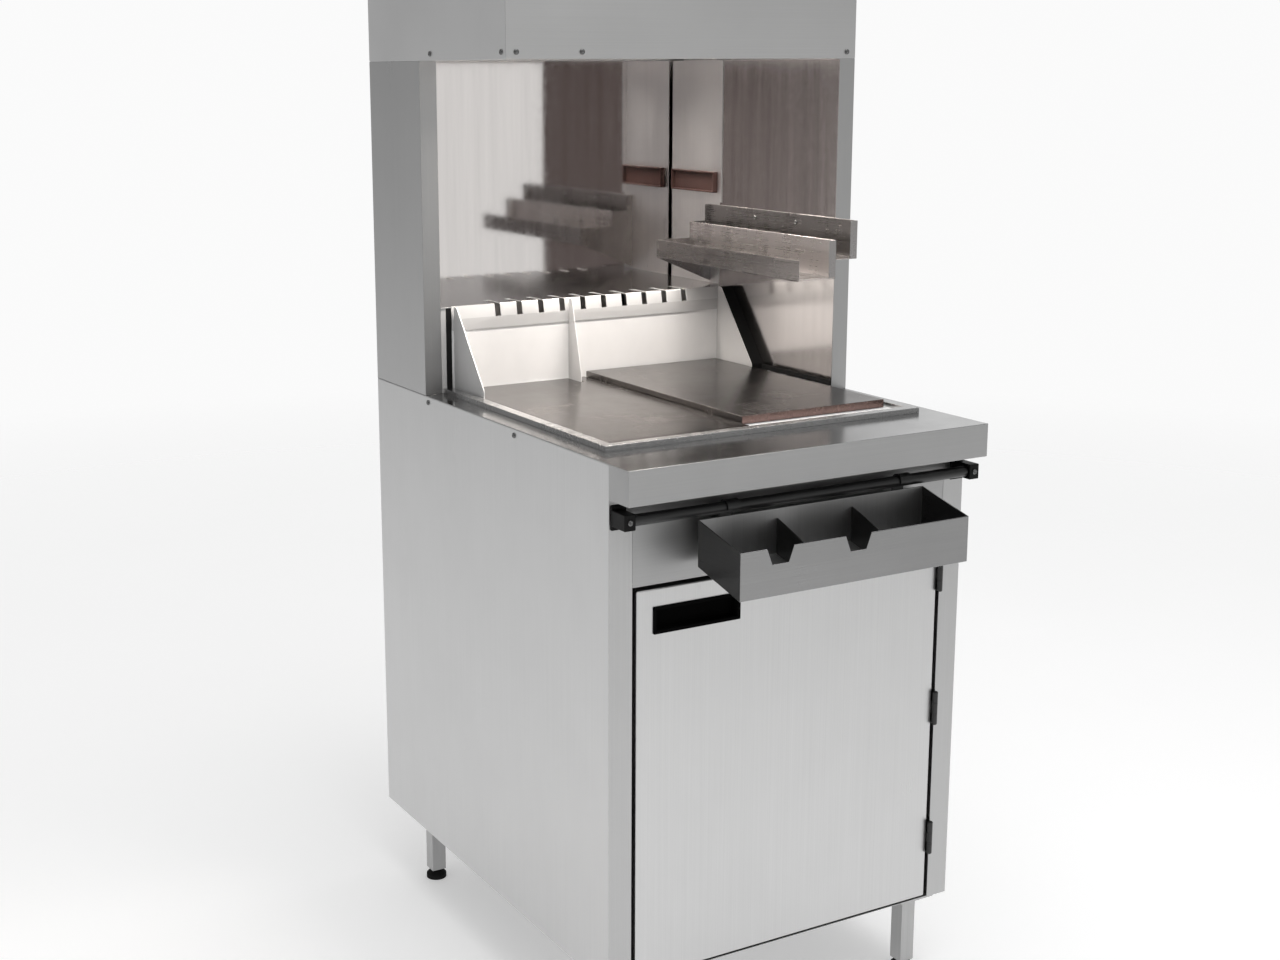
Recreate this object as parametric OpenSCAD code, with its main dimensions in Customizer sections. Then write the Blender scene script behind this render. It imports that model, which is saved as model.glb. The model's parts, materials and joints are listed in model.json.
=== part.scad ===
// Heated serving and bagging station for fried food: a stainless cupboard on legs,
// a worktop with a heated product well, and a lamp hood carried on a rear gantry.
// Millimetres, +Z up, front towards -Y, origin on the floor under the middle of the bounding box.
// Inside the modules, Y is counted from the front edge of the worktop; from_front() moves it.

/* [Overall] */
// Width of the whole unit
unit_w = 600; // [560:5:800]
// Depth of the worktop, front edge to rear
unit_d = 800; // [720:5:900]
// Height of the worktop above the floor
top_h = 870; // [840:1:950]
// Height of the hood's top above the floor
total_h = 1600; // [1450:1:1800]
// Clear height under the cupboard
leg_h = 128; // [110:1:190]

/* [Sheet metal] */
// Thickness of the cupboard's sheet
sheet_t = 1.2; // [0.8:0.1:2]
// Thickness of the worktop and gantry sheet
heavy_t = 1.5; // [1:0.1:2.5]
// Clearance left round lift-out and sliding pieces
slip_gap = 0.5; // [0.3:0.1:1]
// Clearance on the radius of pins and spindles
pin_clear = 0.05; // [0.02:0.01:0.1]

/* [Worktop] */
// Height of the folded front apron
apron_h = 48; // [30:1:60]
// Overhang of the worktop in front of the cupboard
overhang = 49; // [48:1:80]
// Depth of the lip folded back under the apron
apron_lip = 12; // [6:1:14]

/* [Cupboard] */
// Width of the front stiles
stile_w = 36; // [30:1:60]
// Depth of the stile's return beside the door
stile_return = 30; // [24:1:60]
// Distance from the worktop down to the fascia's lower edge
fascia_drop = 172; // [168:1:220]
// Depth of the flange folded back from the fascia's lower edge
fascia_flange = 40; // [40:1:60]
// Inset of the cupboard's back from the rear edge
back_inset = 32; // [30:1:60]

/* [Door] */
// Thickness of the door
door_t = 20; // [18:1:30]
// Gap under the door
door_gap = 2.5; // [1.5:0.1:4]
// Gap at the free side
latch_gap = 6.5; // [2:0.1:9]
// Gap at the hinge side
hinge_gap = 6; // [4.6:0.1:8]
// Gap between the door and the fascia
door_top_gap = 6; // [3:0.5:10]
// Width of the recessed pull
pull_w = 134; // [90:1:180]
// Height of the recessed pull
pull_h = 32; // [30:1:60]
// Depth of the recessed pull
pull_depth = 14; // [10:1:15]
// Wall of the moulded pull
pull_wall = 2; // [1.5:0.1:3]
// Width of the pull's face rim
pull_rim = 3; // [2:0.5:5]
// Distance from the door's free edge to the pull
pull_side_in = 29; // [12:1:60]
// Distance from the door's top to the pull
pull_top_in = 28; // [8:1:60]

/* [Hinges] */
// Height of each hinge
hinge_h = 50; // [40:1:70]
// Radius of the hinge barrel
hinge_r = 4; // [3.5:0.1:5]
// Radius of the hinge pin
pin_r = 2; // [1.5:0.1:2.5]
// Thickness of the hinge leaves
leaf_t = 1.5; // [1:0.1:1.5]
// Depth of the hinge leaves behind the barrel
leaf_d = 17; // [12:1:17]
// Lowest hinge's centre above the door's lower edge
hinge_low_in = 96; // [50:1:140]
// Highest hinge's centre below the door's top edge
hinge_top_in = 51; // [40:1:140]
// Distance of the hinge axis in front of the door's face
hinge_proud = 4.6; // [4.3:0.1:6]

/* [Legs and feet] */
// Side of the square leg tube
leg_side = 25; // [22:1:40]
// Wall of the leg tube
leg_wall = 1.5; // [1:0.1:2.5]
// Inset of the legs from the unit's sides
leg_side_in = 40; // [25:1:90]
// Inset of the front legs from the cupboard's front
leg_front_in = 21; // [21:1:90]
// Inset of the rear legs from the unit's rear
leg_rear_in = 65; // [55:1:110]
// Side of the square plate that bolts a leg to the floor
leg_plate = 62; // [50:1:90]
// Thickness of the leg plate
leg_plate_t = 3; // [2:0.5:5]
// Radius of the foot pad
foot_r = 17; // [14:0.5:24]
// Radius of the foot pad's neck
foot_neck_r = 10; // [8:0.5:13]
// Height of the foot pad
foot_h = 14; // [10:1:20]
// Radius of the foot's stem
stem_r = 5; // [4:0.5:6]
// Travel of the foot downwards
foot_travel = 25; // [10:1:30]
// Height of the moulded plug in the leg's end
plug_h = 24; // [15:1:30]
// Gap between the foot pad and the leg at rest
foot_gap = 2; // [1:0.5:4]

/* [Product well] */
// Distance from the unit's sides to the pan's floor
pan_side = 48; // [46:1:80]
// Distance of the pan's front from the worktop's front edge
pan_front = 128; // [100:1:160]
// Width of the raised rim
rim_w = 16; // [10:1:17]
// Height of the raised rim
rim_h = 8; // [5:0.5:14]
// Margin of the pan's floor on the worktop round the cut-out
pan_margin = 14; // [8:1:30]
// Depth of the carton deck, from its front fold to the unit's rear
deck_d = 189; // [185:1:220]
// Height of the carton deck above the worktop
deck_rise = 136; // [120:1:160]
// Height of the fold at the deck's front edge
fold_h = 38; // [30:1:48]
// Reach of the cheeks in front of the deck's fold
cheek_reach = 102; // [60:1:160]
// Inset of the cheeks from the pan's sides
cheek_in = 3; // [2:0.5:10]
// Height of the cheeks' front edge above the pan
cheek_nose = 16; // [8:1:40]
// Depth of the cheeks' level top edge
cheek_cap = 10; // [4:1:20]
// Reach of the middle divider in front of the deck's fold
divider_reach = 40; // [30:1:120]
// Offset of the middle divider from the centre, towards the left
divider_left = 42; // [20:1:60]
// Number of slots in the deck
slot_count = 10; // [4:1:12]
// Spacing of the slots
slot_pitch = 39; // [20:1:42]
// Width of the slots
slot_w = 10; // [6:0.5:14]
// Length of the slots on the deck
slot_l = 45; // [20:1:150]
// Drop of the slots down the fold
slot_drop = 20; // [10:1:26]
// Depth of the slope along the deck's front edge
lip_slope = 4; // [2:1:20]
// Offset of the row of slots from the centre, towards the right
slot_right = 5; // [0:1:20]
// Width of the deck's end legs on the worktop
deck_leg_w = 9; // [6:1:14]

/* [Lift-out plates] */
// Thickness of the flat left plate
plate_t = 3; // [2:0.5:5]
// Height of the raised right tray
tray_h = 12; // [8:1:20]
// Sheet of the raised right tray
tray_t = 1.5; // [1:0.1:2.5]
// Distance from the pan's front to the raised tray
tray_front_in = 36; // [20:1:160]
// Gap between the two plates and to the cheeks
plate_gap = 3; // [2:0.5:6]
// Distance from the middle divider to the joint between the plates
split_right = 27; // [20:1:60]
// Gap round the divider in the left plate's notch
notch_gap = 3; // [2:0.5:6]

/* [Well heater] */
// Thickness of the heating mat
mat_t = 3; // [2:0.5:5]
// Thickness of the insulation
insulation_t = 20; // [10:1:30]
// Margin of the heating mat inside the cut-out
mat_margin = 30; // [15:1:60]

/* [Gantry] */
// Depth of the rear left upright
upright_d = 189; // [150:1:195]
// Thickness of the double-skinned uprights and screen
flange_w = 29; // [24:1:31]
// Distance from the worktop's front edge to the right screen
screen_front = 325; // [280:1:340]
// Distance from the seam of the right screen to the unit's rear
seam_in = 158; // [120:1:170]
// Width of the seam's cover strip
seam_w = 12; // [8:1:20]
// Width of the slot in the rear right corner
corner_gap = 6; // [4:1:12]
// Height of the hood
hood_h = 218; // [150:1:240]
// Width of the lip folded in at the hood's lower edge
hood_lip = 14; // [8:1:25]
// Height of the lamp tray above the hood's lower edge
tray_rise = 12; // [8:1:40]
// Side of the straps that tie the hood to the gantry
strap_side = 40; // [30:1:60]

/* [Heat lamps] */
// Radius of the quartz lamps
lamp_r = 6; // [4:0.5:8]
// Length of the quartz lamps
lamp_len = 420; // [380:1:440]
// Distance between the two lamps
lamp_pitch = 210; // [190:1:220]
// Width of the reflector's mouth
reflector_w = 110; // [80:1:130]
// Width of the reflector's crown
reflector_crown = 46; // [30:1:60]
// Height of the reflector
reflector_h = 60; // [40:1:70]
// Length of the ceramic lamp holders
holder_l = 18; // [12:1:24]
// Radius of the guard wires
wire_r = 1.5; // [1:0.1:2.5]
// Number of guard wires across each lamp
wire_count = 7; // [3:1:9]

/* [Carton rack] */
// Sheet of the rack
rack_t = 1.5; // [1:0.1:2.5]
// Height of the rack's underside above the worktop
rack_rise = 185; // [176:1:230]
// Width of the low row
low_row_w = 66; // [50:1:80]
// Width of the high row
high_row_w = 41; // [30:1:50]
// Height of the low row's wall
low_wall_h = 30; // [20:1:40]
// Step up from one row's wall to the next
row_step = 28; // [20:1:34]
// Lift of the high row's floor above the low row's floor
floor_step = 28; // [20:1:34]
// Distance from the rack's rear end to the unit's rear
rack_rear_in = 132; // [110:1:150]
// Front end of the low row
low_front = 271; // [255:1:290]
// Front end of the high row
high_front = 268; // [255:1:290]
// Width of the lips at the front ends of the high row's walls
row_lip = 12; // [6:1:15]
// Gap between the rack and the screen
rack_gap = 2; // [1:0.5:4]
// Depth of the brackets under the rack
bracket_h = 24; // [15:1:40]
// Distance of the first bracket behind the screen's front
bracket_in = 96; // [30:1:160]
// Distance between the two brackets
bracket_pitch = 112; // [60:1:160]

/* [Scoop rest] */
// Length of the moulded rest on the right screen
rest_l = 132; // [80:1:134]
// Height of the rest
rest_h = 35; // [25:1:60]
// Reach of the rest from the screen
rest_d = 10; // [8:1:20]
// Wall of the rest
rest_t = 2.5; // [2:0.5:4]
// Height of the rest's underside above the worktop
rest_rise = 291; // [280:1:360]

/* [Rail and bin] */
// Radius of the rail
rail_r = 8; // [6:0.5:8.5]
// Distance of the rail from the worktop's front edge
rail_in = 24; // [21:1:25]
// Distance of the rail below the worktop
rail_drop = 72; // [61:1:78]
// Width of the rail's end brackets
rail_bracket_w = 17; // [10:1:24]
// Thickness of the brackets' fixing plates
rail_plate_t = 3; // [2:0.5:5]
// Width of the bin
bin_w = 383; // [300:1:400]
// Depth of the bin
bin_d = 98; // [80:1:120]
// Height of the bin
bin_h = 65; // [50:1:67]
// Sheet of the bin
bin_t = 1.5; // [1:0.1:2]
// Fall of the bin's floor and rim from its back to its front
bin_fall = 23; // [0:1:25]
// Distance from the rail down to the bin's top edge
hook_rise = 15; // [12:1:17]
// Offset of the bin's middle from the centre, towards the right
bin_right = 19; // [0:1:40]
// Width of the hooks
hook_w = 20; // [12:1:30]
// Thickness of the hooks
hook_t = 2; // [1.5:0.1:3]
// Width of the finger notches at the bin's front rim
bin_notch_w = 44; // [30:1:60]
// Width of the finger notches at their foot
bin_notch_foot = 26; // [14:1:30]
// Depth of the finger notches
bin_notch_h = 22; // [10:1:30]
// Drop of the dividers below the bin's rim at the back
divider_drop = 13; // [2:1:20]
// Drop of the dividers below the bin's rim at the front
divider_dip = 22; // [2:1:30]

/* [Controls] */
// Width of the control box on the right side panel
control_w = 98; // [90:1:130]
// Depth of the control box
control_d = 160; // [120:1:220]
// Height of the control box
control_h = 120; // [110:1:150]
// Distance of the control panel behind the cupboard's front
control_in = 82; // [60:1:140]
// Distance of the control box below the fascia
control_drop = 16; // [8:1:60]
// Radius of the thermostat knob
knob_r = 16; // [12:1:20]
// Height of the thermostat knob
knob_h = 18; // [14:1:24]
// Radius of the thermostat's spindle
spindle_r = 3; // [2.5:0.1:4]
// Radius of the wiring conduit
conduit_r = 8; // [6:0.5:10]
// Radius of the supply gland's bore
gland_bore_r = 5.5; // [4:0.5:7]
// Wall of the supply gland
gland_wall = 4; // [3:0.5:6]
// Height of the supply gland above the cupboard's floor
gland_rise = 150; // [60:1:300]

/* [Fasteners] */
// Radius of the screw heads
screw_r = 4; // [3:0.5:6]
// Height of the screw heads
screw_h = 2; // [1:0.1:3]
// Distance of the side screws below the worktop
screw_drop = 10; // [8:1:30]

/* [Hidden] */
$fn = 48;

steel = [0.74, 0.75, 0.76];
bright_steel = [0.86, 0.86, 0.87];
dull_steel = [0.62, 0.62, 0.63];
black = [0.06, 0.06, 0.06];
brown = [0.24, 0.15, 0.13];
wool = [0.80, 0.74, 0.52];
ceramic = [0.92, 0.90, 0.85];
glow = [1.0, 0.75, 0.45];

// How far a cutting shape runs past the face that it cuts
cut = 1;

// Planes of the cupboard and the worktop
half_w = unit_w / 2;
side_in = half_w - sheet_t;
gantry_in = half_w - heavy_t;
slab_low = top_h - heavy_t;
apron_low = top_h - apron_h;
cab_skin = overhang + sheet_t;
back_in = unit_d - back_inset - sheet_t;
floor_top = leg_h + sheet_t;
stile_x = half_w - stile_w;
fascia_low = top_h - fascia_drop;

// The door and its hinges
door_x0 = latch_gap - stile_x;
door_x1 = stile_x - hinge_gap;
door_z0 = floor_top + door_gap;
door_z1 = fascia_low - door_top_gap;
door_rear = overhang + door_t;
pull_x0 = door_x0 + pull_side_in;
pull_x1 = pull_x0 + pull_w;
pull_z1 = door_z1 - pull_top_in;
pull_z0 = pull_z1 - pull_h;
hinge_x = stile_x - hinge_gap / 2;
hinge_y = overhang - hinge_proud;
hinge_low_z = door_z0 + hinge_low_in;
hinge_top_z = door_z1 - hinge_top_in;
hinge_zs = [hinge_low_z, (hinge_low_z + hinge_top_z) / 2, hinge_top_z];
knuckle_gap = 0.4;
leaf_front = overhang + 1;
neck_front = hinge_y + pin_r + 1;
pin_head_r = hinge_r - 1;
pin_head_h = 1;
catch_in = 40;
catch_x0 = door_x0 + catch_in;
catch_w = 40;
catch_d = 14;
catch_h = 18;
striker_t = 1;

// The legs and the feet
leg_x = half_w - leg_side_in - leg_side / 2;
leg_front_y = overhang + leg_front_in + leg_side / 2;
leg_rear_y = unit_d - leg_rear_in - leg_side / 2;
leg_low = foot_h + foot_gap;

// The product well
deck_front = unit_d - deck_d;
pan_half = half_w - pan_side;
pan_top = top_h + heavy_t;
pan_rear = deck_front + heavy_t;
rim_top = top_h + rim_h;
cheek_half = pan_half - cheek_in - heavy_t;
cut_half = pan_half - pan_margin;
cut_front = pan_front + pan_margin;
cut_rear = pan_rear - pan_margin;
deck_z = top_h + deck_rise;
cheek_front = deck_front - cheek_reach;
divider_front = deck_front - divider_reach;
nose_z = pan_top + cheek_nose;
wall_top = deck_z - (slot_drop + fold_h) / 2;
strip_t = 3;
strip_w = 10;
seal_rise = 8;
plate_z = pan_top + slip_gap;
plate_rear = deck_front - plate_gap;
plate_split = split_right - divider_left;
notch_front = divider_front - notch_gap;
mat_low = top_h - mat_t;
slab_margin = 5;
slab_z = mat_low - insulation_t;
tray_lap = 4;

// The gantry and the hood
hood_low = total_h - hood_h;
seam_front = unit_d - seam_in;
gantry_back = unit_d - heavy_t;
flange_y = unit_d - upright_d;
flange_x = half_w - flange_w;
strap_t = 2;
strap_in = 24;
lamp_tray_low = hood_low + tray_rise;
lamp_tray_top = lamp_tray_low + heavy_t;
lamp_middle = (screen_front + unit_d) / 2;
lamp_ys = [lamp_middle - lamp_pitch / 2, lamp_middle + lamp_pitch / 2];
lamp_rise = 24;
lamp_z = lamp_tray_top + lamp_rise;
trough_half = lamp_len / 2 + holder_l;
holder_half = 11;
guard_over = 8;
weld_gap = 0.02;
guard_drop = 2 * wire_r + weld_gap;

// The carton rack
rack_rear = unit_d - rack_rear_in;
rack_x = flange_x - rack_gap;
high_x = rack_x - high_row_w;
low_x = high_x - low_row_w;
rack_z = top_h + rack_rise;
high_floor = rack_z + floor_step;
low_top = rack_z + low_wall_h;
high_top = low_top + row_step;
back_top = high_top + row_step;
end_step = 10;
end_clear = 3;
end_low = deck_z + end_clear;
bracket_t = 2 * rack_t;
bracket_ys = [screen_front + bracket_in, screen_front + bracket_in + bracket_pitch];
seam_over = 4;
seam_low = back_top + seam_over;
rest_gap = 1;
rest_y0 = seam_front + seam_w / 2 + rest_gap;
rest_y1 = rest_y0 + rest_l;
rest_z = top_h + rest_rise;

// The rail and the bin; the bin is drawn about the rail's axis
rail_z = top_h - rail_drop;
bracket_side_in = 2;
rail_end = half_w - bracket_side_in - rail_bracket_w;
arm_wall = 3;
rail_plate_over = 6;
rail_plate_rise = 17;
bin_rear = rail_r + slip_gap;
bin_front = bin_rear - bin_d;
bin_top = -hook_rise;
bin_low = bin_top - bin_h;
bin_part = bin_w / 6;
bin_front_top = bin_top - bin_fall;
notch_low = bin_front_top - bin_notch_h;
hook_in = 45;
hook_lap = 22;
hook_tip = 2;

// The controls
control_x1 = side_in;
control_x0 = control_x1 - control_w;
control_y = overhang + control_in;
control_z1 = fascia_low - control_drop;
control_z0 = control_z1 - control_h;
knob_in = 32;
knob_drop = 42;
knob_x = control_x1 - knob_in;
knob_z = control_z1 - knob_drop;
knob_gap = 2;
knob_skirt = 3;
flute_r = 3;
flute_out = 1;
flute_turn = 30;
pointer_w = 2;
pointer_h = 1;
pointer_in = 2.5;
spindle_l = 20;
thermostat_half = 18;
thermostat_d = 26;
switch_in = 26;
switch_drop = 40;
switch_x = control_x0 + switch_in;
switch_z = control_z1 - switch_drop;
switch_w = 16;
switch_h = 26;
switch_wall = 1.8;
switch_proud = 4;
switch_d = 26;
rocker_gap = 0.4;
rocker_h = 17;
rocker_in = 3;
rocker_out = 9;
rocker_y = control_y + rocker_in;
rocker_rest = -8;
axle_r = 1.5;
axle_in = 1;
terminal_size = [50, 30, 22];
conduit_in = 24;
conduit_rear_in = 30;
conduit_drop = 70;
riser_back_in = 22;
riser_side_in = 15;
conduit_x = control_x0 + conduit_in;
conduit_y = control_y + control_d - conduit_rear_in;
conduit_z = top_h - conduit_drop;
conduit_back = back_in - riser_back_in;
riser_x = riser_side_in - half_w;
elbow_over = 1.5;
elbow_r = conduit_r + elbow_over;
gland_r = gland_bore_r + gland_wall;
gland_side_in = 90;
gland_x = half_w - gland_side_in;
gland_z = floor_top + gland_rise;
gland_nose = 24;
nut_l = 6;
nut_over = 5;
nut_flat_turn = 30;
thread_over = 2;
gland_inner = back_in - nut_l - thread_over;
gland_outer = back_in + sheet_t + gland_nose;

// Places of the accessory screws along the sides and the hood
panel_screw_out = 12;
panel_screw_rear = 9;
hood_screw_in = 14;
hood_screw_rear = 41;
hood_screw_side = 16;
hood_screw_pitch = 104;
panel_screw_ys = [screen_front - panel_screw_out, flange_y - panel_screw_rear];
hood_screw_ys = [screen_front + hood_screw_in, flange_y - hood_screw_rear];
hood_screw_xs = [
    hood_screw_side - half_w, hood_screw_side + hood_screw_pitch - half_w, half_w - hood_screw_side];

// Middle of the bounding box, from the bin's front to the unit's rear
reach_y = rail_in + bin_front;
middle_y = (unit_d + reach_y) / 2;

module from_front() translate([0, -middle_y, 0]) children();

// A box between two corners
module block(low, high) translate(low) cube(high - low);

// A shape drawn in Y and Z, drawn out along X
module along_x(x0, x1) translate([x0, 0, 0]) rotate([90, 0, 90]) linear_extrude(x1 - x0) children();

// A shape drawn in X and Z, drawn out along Y
module along_y(y0, y1) translate([0, y1, 0]) rotate([90, 0, 0]) linear_extrude(y1 - y0) children();

// A round bar along Y
module rod_y(r, y0, y1) translate([0, y0, 0]) rotate([-90, 0, 0]) cylinder(r = r, h = y1 - y0);

// A round bar along X
module rod_x(r, x0, x1) translate([x0, 0, 0]) rotate([0, 90, 0]) cylinder(r = r, h = x1 - x0);

module both_sides() {
    children();
    mirror([1, 0, 0]) children();
}

// The same piece at each of the four legs
module at_legs() {
    for (x = [-leg_x, leg_x], y = [leg_front_y, leg_rear_y]) translate([x, y, 0]) children();
}

module side_panels() color(steel) from_front() both_sides()
    block([side_in, cab_skin, leg_h], [half_w, unit_d, slab_low]);

module cabinet_back() color(dull_steel) from_front() difference() {
    block([-side_in, back_in, leg_h], [side_in, back_in + sheet_t, slab_low]);
    translate([gland_x, 0, gland_z]) rod_y(gland_r + pin_clear, back_in - cut, back_in + sheet_t + cut);
}

module cabinet_floor() color(dull_steel) from_front()
    block([-side_in, cab_skin, leg_h], [side_in, back_in, floor_top]);

module stiles() color(steel) from_front() both_sides() {
    block([stile_x, overhang, leg_h], [half_w, cab_skin, slab_low]);
    block([stile_x, cab_skin, floor_top], [stile_x + sheet_t, cab_skin + stile_return, slab_low]);
}

module fascia_panel() color(steel) from_front() {
    block([-stile_x, overhang, fascia_low], [stile_x, cab_skin, slab_low]);
    block([-stile_x, cab_skin, fascia_low], [stile_x, cab_skin + fascia_flange, fascia_low + sheet_t]);
}

module worktop() color(steel) from_front() difference() {
    union() {
        block([-half_w, 0, slab_low], [half_w, unit_d, top_h]);
        block([-half_w, 0, apron_low], [half_w, heavy_t, slab_low]);
        both_sides() block([gantry_in, heavy_t, apron_low], [half_w, overhang, slab_low]);
        block([-gantry_in, heavy_t, apron_low], [gantry_in, heavy_t + apron_lip, apron_low + heavy_t]);
    }
    block([-cut_half, cut_front, slab_low - cut], [cut_half, cut_rear, top_h + cut]);
    translate([riser_x, conduit_back, slab_low - cut])
        cylinder(r = conduit_r + slip_gap, h = heavy_t + 2 * cut);
}

module legs() color(dull_steel) from_front() at_legs() {
    translate([0, 0, leg_low]) linear_extrude(leg_h - leg_plate_t - leg_low) difference() {
        square(leg_side, center = true);
        square(leg_side - 2 * leg_wall, center = true);
    }
    translate([0, 0, leg_h - leg_plate_t]) linear_extrude(leg_plate_t) square(leg_plate, center = true);
}

module leg_plugs() color(black) from_front() at_legs()
    translate([0, 0, leg_low]) linear_extrude(plug_h) difference() {
        square(leg_side - 2 * leg_wall, center = true);
        circle(r = stem_r + pin_clear);
    }

// A levelling foot: a pad with a tapered shoulder on a round stem
module foot(x, y) color(black) from_front() translate([x, y, 0]) {
    cylinder(r = foot_r, h = foot_h / 2);
    translate([0, 0, foot_h / 2]) cylinder(r1 = foot_r, r2 = foot_neck_r, h = foot_h / 2);
    translate([0, 0, foot_h]) cylinder(r = stem_r, h = foot_gap + plug_h + foot_travel);
}

module foot_front_left() foot(-leg_x, leg_front_y);

module foot_front_right() foot(leg_x, leg_front_y);

module foot_rear_left() foot(-leg_x, leg_rear_y);

module foot_rear_right() foot(leg_x, leg_rear_y);

// A raised rim, folded from sheet and open underneath
module pan_rim() color(bright_steel) from_front() difference() {
    block([-pan_half - rim_w, pan_front - rim_w, top_h], [pan_half + rim_w, pan_rear, rim_top]);
    block([-pan_half, pan_front, top_h - cut], [pan_half, pan_rear + cut, rim_top + cut]);
    difference() {
        block([-pan_half - rim_w + heavy_t, pan_front - rim_w + heavy_t, top_h - cut],
              [pan_half + rim_w - heavy_t, pan_rear + cut, rim_top - heavy_t]);
        block([-pan_half - heavy_t, pan_front - heavy_t, top_h - cut],
              [pan_half + heavy_t, pan_rear + cut, rim_top]);
    }
}

module pan_floor() color(bright_steel) from_front()
    block([-pan_half, pan_front, top_h], [pan_half, pan_rear, pan_top]);

module pan_back_wall() color(bright_steel) from_front()
    block([-pan_half, pan_rear, top_h], [pan_half, pan_rear + heavy_t, wall_top]);

// Side view of a cheek: upright at the back, sloping down to a low nose at the front
module cheek_shape(front) polygon([
    [front, pan_top], [pan_rear, pan_top], [pan_rear, deck_z - fold_h],
    [deck_front, deck_z - fold_h], [deck_front, deck_z], [deck_front - cheek_cap, deck_z],
    [front, nose_z]]);

module cheeks() color(bright_steel) from_front() both_sides()
    along_x(cheek_half, cheek_half + heavy_t) cheek_shape(cheek_front);

module middle_divider() color(bright_steel) from_front()
    along_x(-divider_left - heavy_t / 2, -divider_left + heavy_t / 2) cheek_shape(divider_front);

// The slotted shelf that holds the cartons by their flaps, on a leg at each end
module carton_deck() color(bright_steel) from_front() difference() {
    union() {
        difference() {
            block([-flange_x, deck_front, deck_z - heavy_t], [flange_x, gantry_back, deck_z]);
            block([-pan_half, deck_front - cut, deck_z - 2 * heavy_t],
                  [pan_half, deck_front + lip_slope, deck_z + cut]);
        }
        along_x(-pan_half, pan_half) polygon([
            [deck_front, deck_z - fold_h], [pan_rear, deck_z - fold_h],
            [pan_rear, deck_z - slot_drop], [pan_rear + lip_slope, deck_z],
            [deck_front + lip_slope, deck_z], [deck_front, deck_z - slot_drop]]);
        both_sides() block([flange_x - deck_leg_w, pan_rear, top_h],
                           [flange_x, pan_rear + heavy_t, deck_z - heavy_t]);
    }
    for (i = [0 : slot_count - 1])
        translate([slot_right + (i - (slot_count - 1) / 2) * slot_pitch, 0, 0])
            block([-slot_w / 2, deck_front - cut, deck_z - slot_drop],
                  [slot_w / 2, deck_front + slot_l, deck_z + cut]);
}

// Black strips that close the gaps beside the well and at the screen's foot
module gap_strips() color(black) from_front() {
    along_x(cheek_half + heavy_t, flange_x) polygon([
        [deck_front - cheek_cap, deck_z], [cheek_front, nose_z], [cheek_front, rim_top],
        [cheek_front + strip_t, rim_top], [cheek_front + strip_t, nose_z],
        [deck_front, deck_z - heavy_t], [deck_front, deck_z]]);
    block([-pan_half - strip_w, pan_rear, top_h], [-pan_half, pan_rear + strip_t, deck_z - heavy_t]);
    block([pan_half + rim_w, screen_front, top_h], [flange_x, cheek_front, rim_top + seal_rise]);
}

module heating_mat() color([0.5, 0.12, 0.08]) from_front()
    block([-cut_half + mat_margin, cut_front + mat_margin, mat_low],
          [cut_half - mat_margin, cut_rear - mat_margin, top_h]);

module insulation_slab() color(wool) from_front()
    block([-cut_half + slab_margin, cut_front + slab_margin, slab_z],
          [cut_half - slab_margin, cut_rear - slab_margin, mat_low]);

// The tray under the well that carries the insulation
module under_tray() color(dull_steel) from_front() difference() {
    block([-cut_half - tray_lap, cut_front - tray_lap, slab_z - sheet_t],
          [cut_half + tray_lap, cut_rear + tray_lap, slab_low]);
    block([-cut_half - tray_lap + sheet_t, cut_front - tray_lap + sheet_t, slab_z],
          [cut_half + tray_lap - sheet_t, cut_rear + tray_lap - sheet_t, slab_low + cut]);
}

// The flat lift-out plate, notched round the divider
module left_plate() color(steel) from_front() difference() {
    block([-cheek_half + plate_gap, pan_front + plate_gap, plate_z],
          [plate_split, plate_rear, plate_z + plate_t]);
    block([-divider_left - heavy_t / 2 - notch_gap, notch_front, plate_z - cut],
          [-divider_left + heavy_t / 2 + notch_gap, plate_rear + cut, plate_z + plate_t + cut]);
}

// The raised lift-out tray, open underneath
module right_tray() color(steel) from_front() difference() {
    block([plate_split + plate_gap, pan_front + tray_front_in, plate_z],
          [cheek_half - plate_gap, plate_rear, plate_z + tray_h]);
    block([plate_split + plate_gap + tray_t, pan_front + tray_front_in + tray_t, plate_z - cut],
          [cheek_half - plate_gap - tray_t, plate_rear - tray_t, plate_z + tray_h - tray_t]);
}

// The rear uprights, each with an outer and an inner skin: the left one has a front
// flange, the right one a strip over the seam to the screen and a slot in the rear corner
module uprights() color(steel) from_front() {
    block([-half_w, flange_y, top_h], [-gantry_in, unit_d, hood_low]);
    block([-gantry_in, flange_y, top_h], [-flange_x, flange_y + heavy_t, hood_low]);
    block([-flange_x - heavy_t, flange_y + heavy_t, top_h], [-flange_x, gantry_back, hood_low]);
    block([gantry_in, seam_front, top_h], [half_w, unit_d, hood_low]);
    block([flange_x, seam_front, top_h], [flange_x + heavy_t, gantry_back - corner_gap, hood_low]);
    block([flange_x - heavy_t, seam_front - seam_w / 2, seam_low],
          [flange_x, seam_front + seam_w / 2, hood_low]);
}

// The double-skinned side screen in front of the right upright
module right_screen() color(bright_steel) from_front() {
    block([gantry_in, screen_front + heavy_t, top_h], [half_w, seam_front, hood_low]);
    block([flange_x, screen_front, top_h], [half_w, screen_front + heavy_t, hood_low]);
    block([flange_x, screen_front + heavy_t, top_h], [flange_x + heavy_t, seam_front, hood_low]);
}

module back_panel() color(bright_steel) from_front()
    block([-gantry_in, gantry_back, top_h], [gantry_in, unit_d, hood_low]);

module hood_front() color(steel) from_front() {
    block([-half_w, screen_front, hood_low], [half_w, screen_front + heavy_t, total_h]);
    block([-gantry_in, screen_front + heavy_t, hood_low],
          [gantry_in, screen_front + heavy_t + hood_lip, hood_low + heavy_t]);
}

module hood_sides() color(steel) from_front() both_sides()
    block([gantry_in, screen_front + heavy_t, hood_low], [half_w, unit_d, total_h]);

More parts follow.
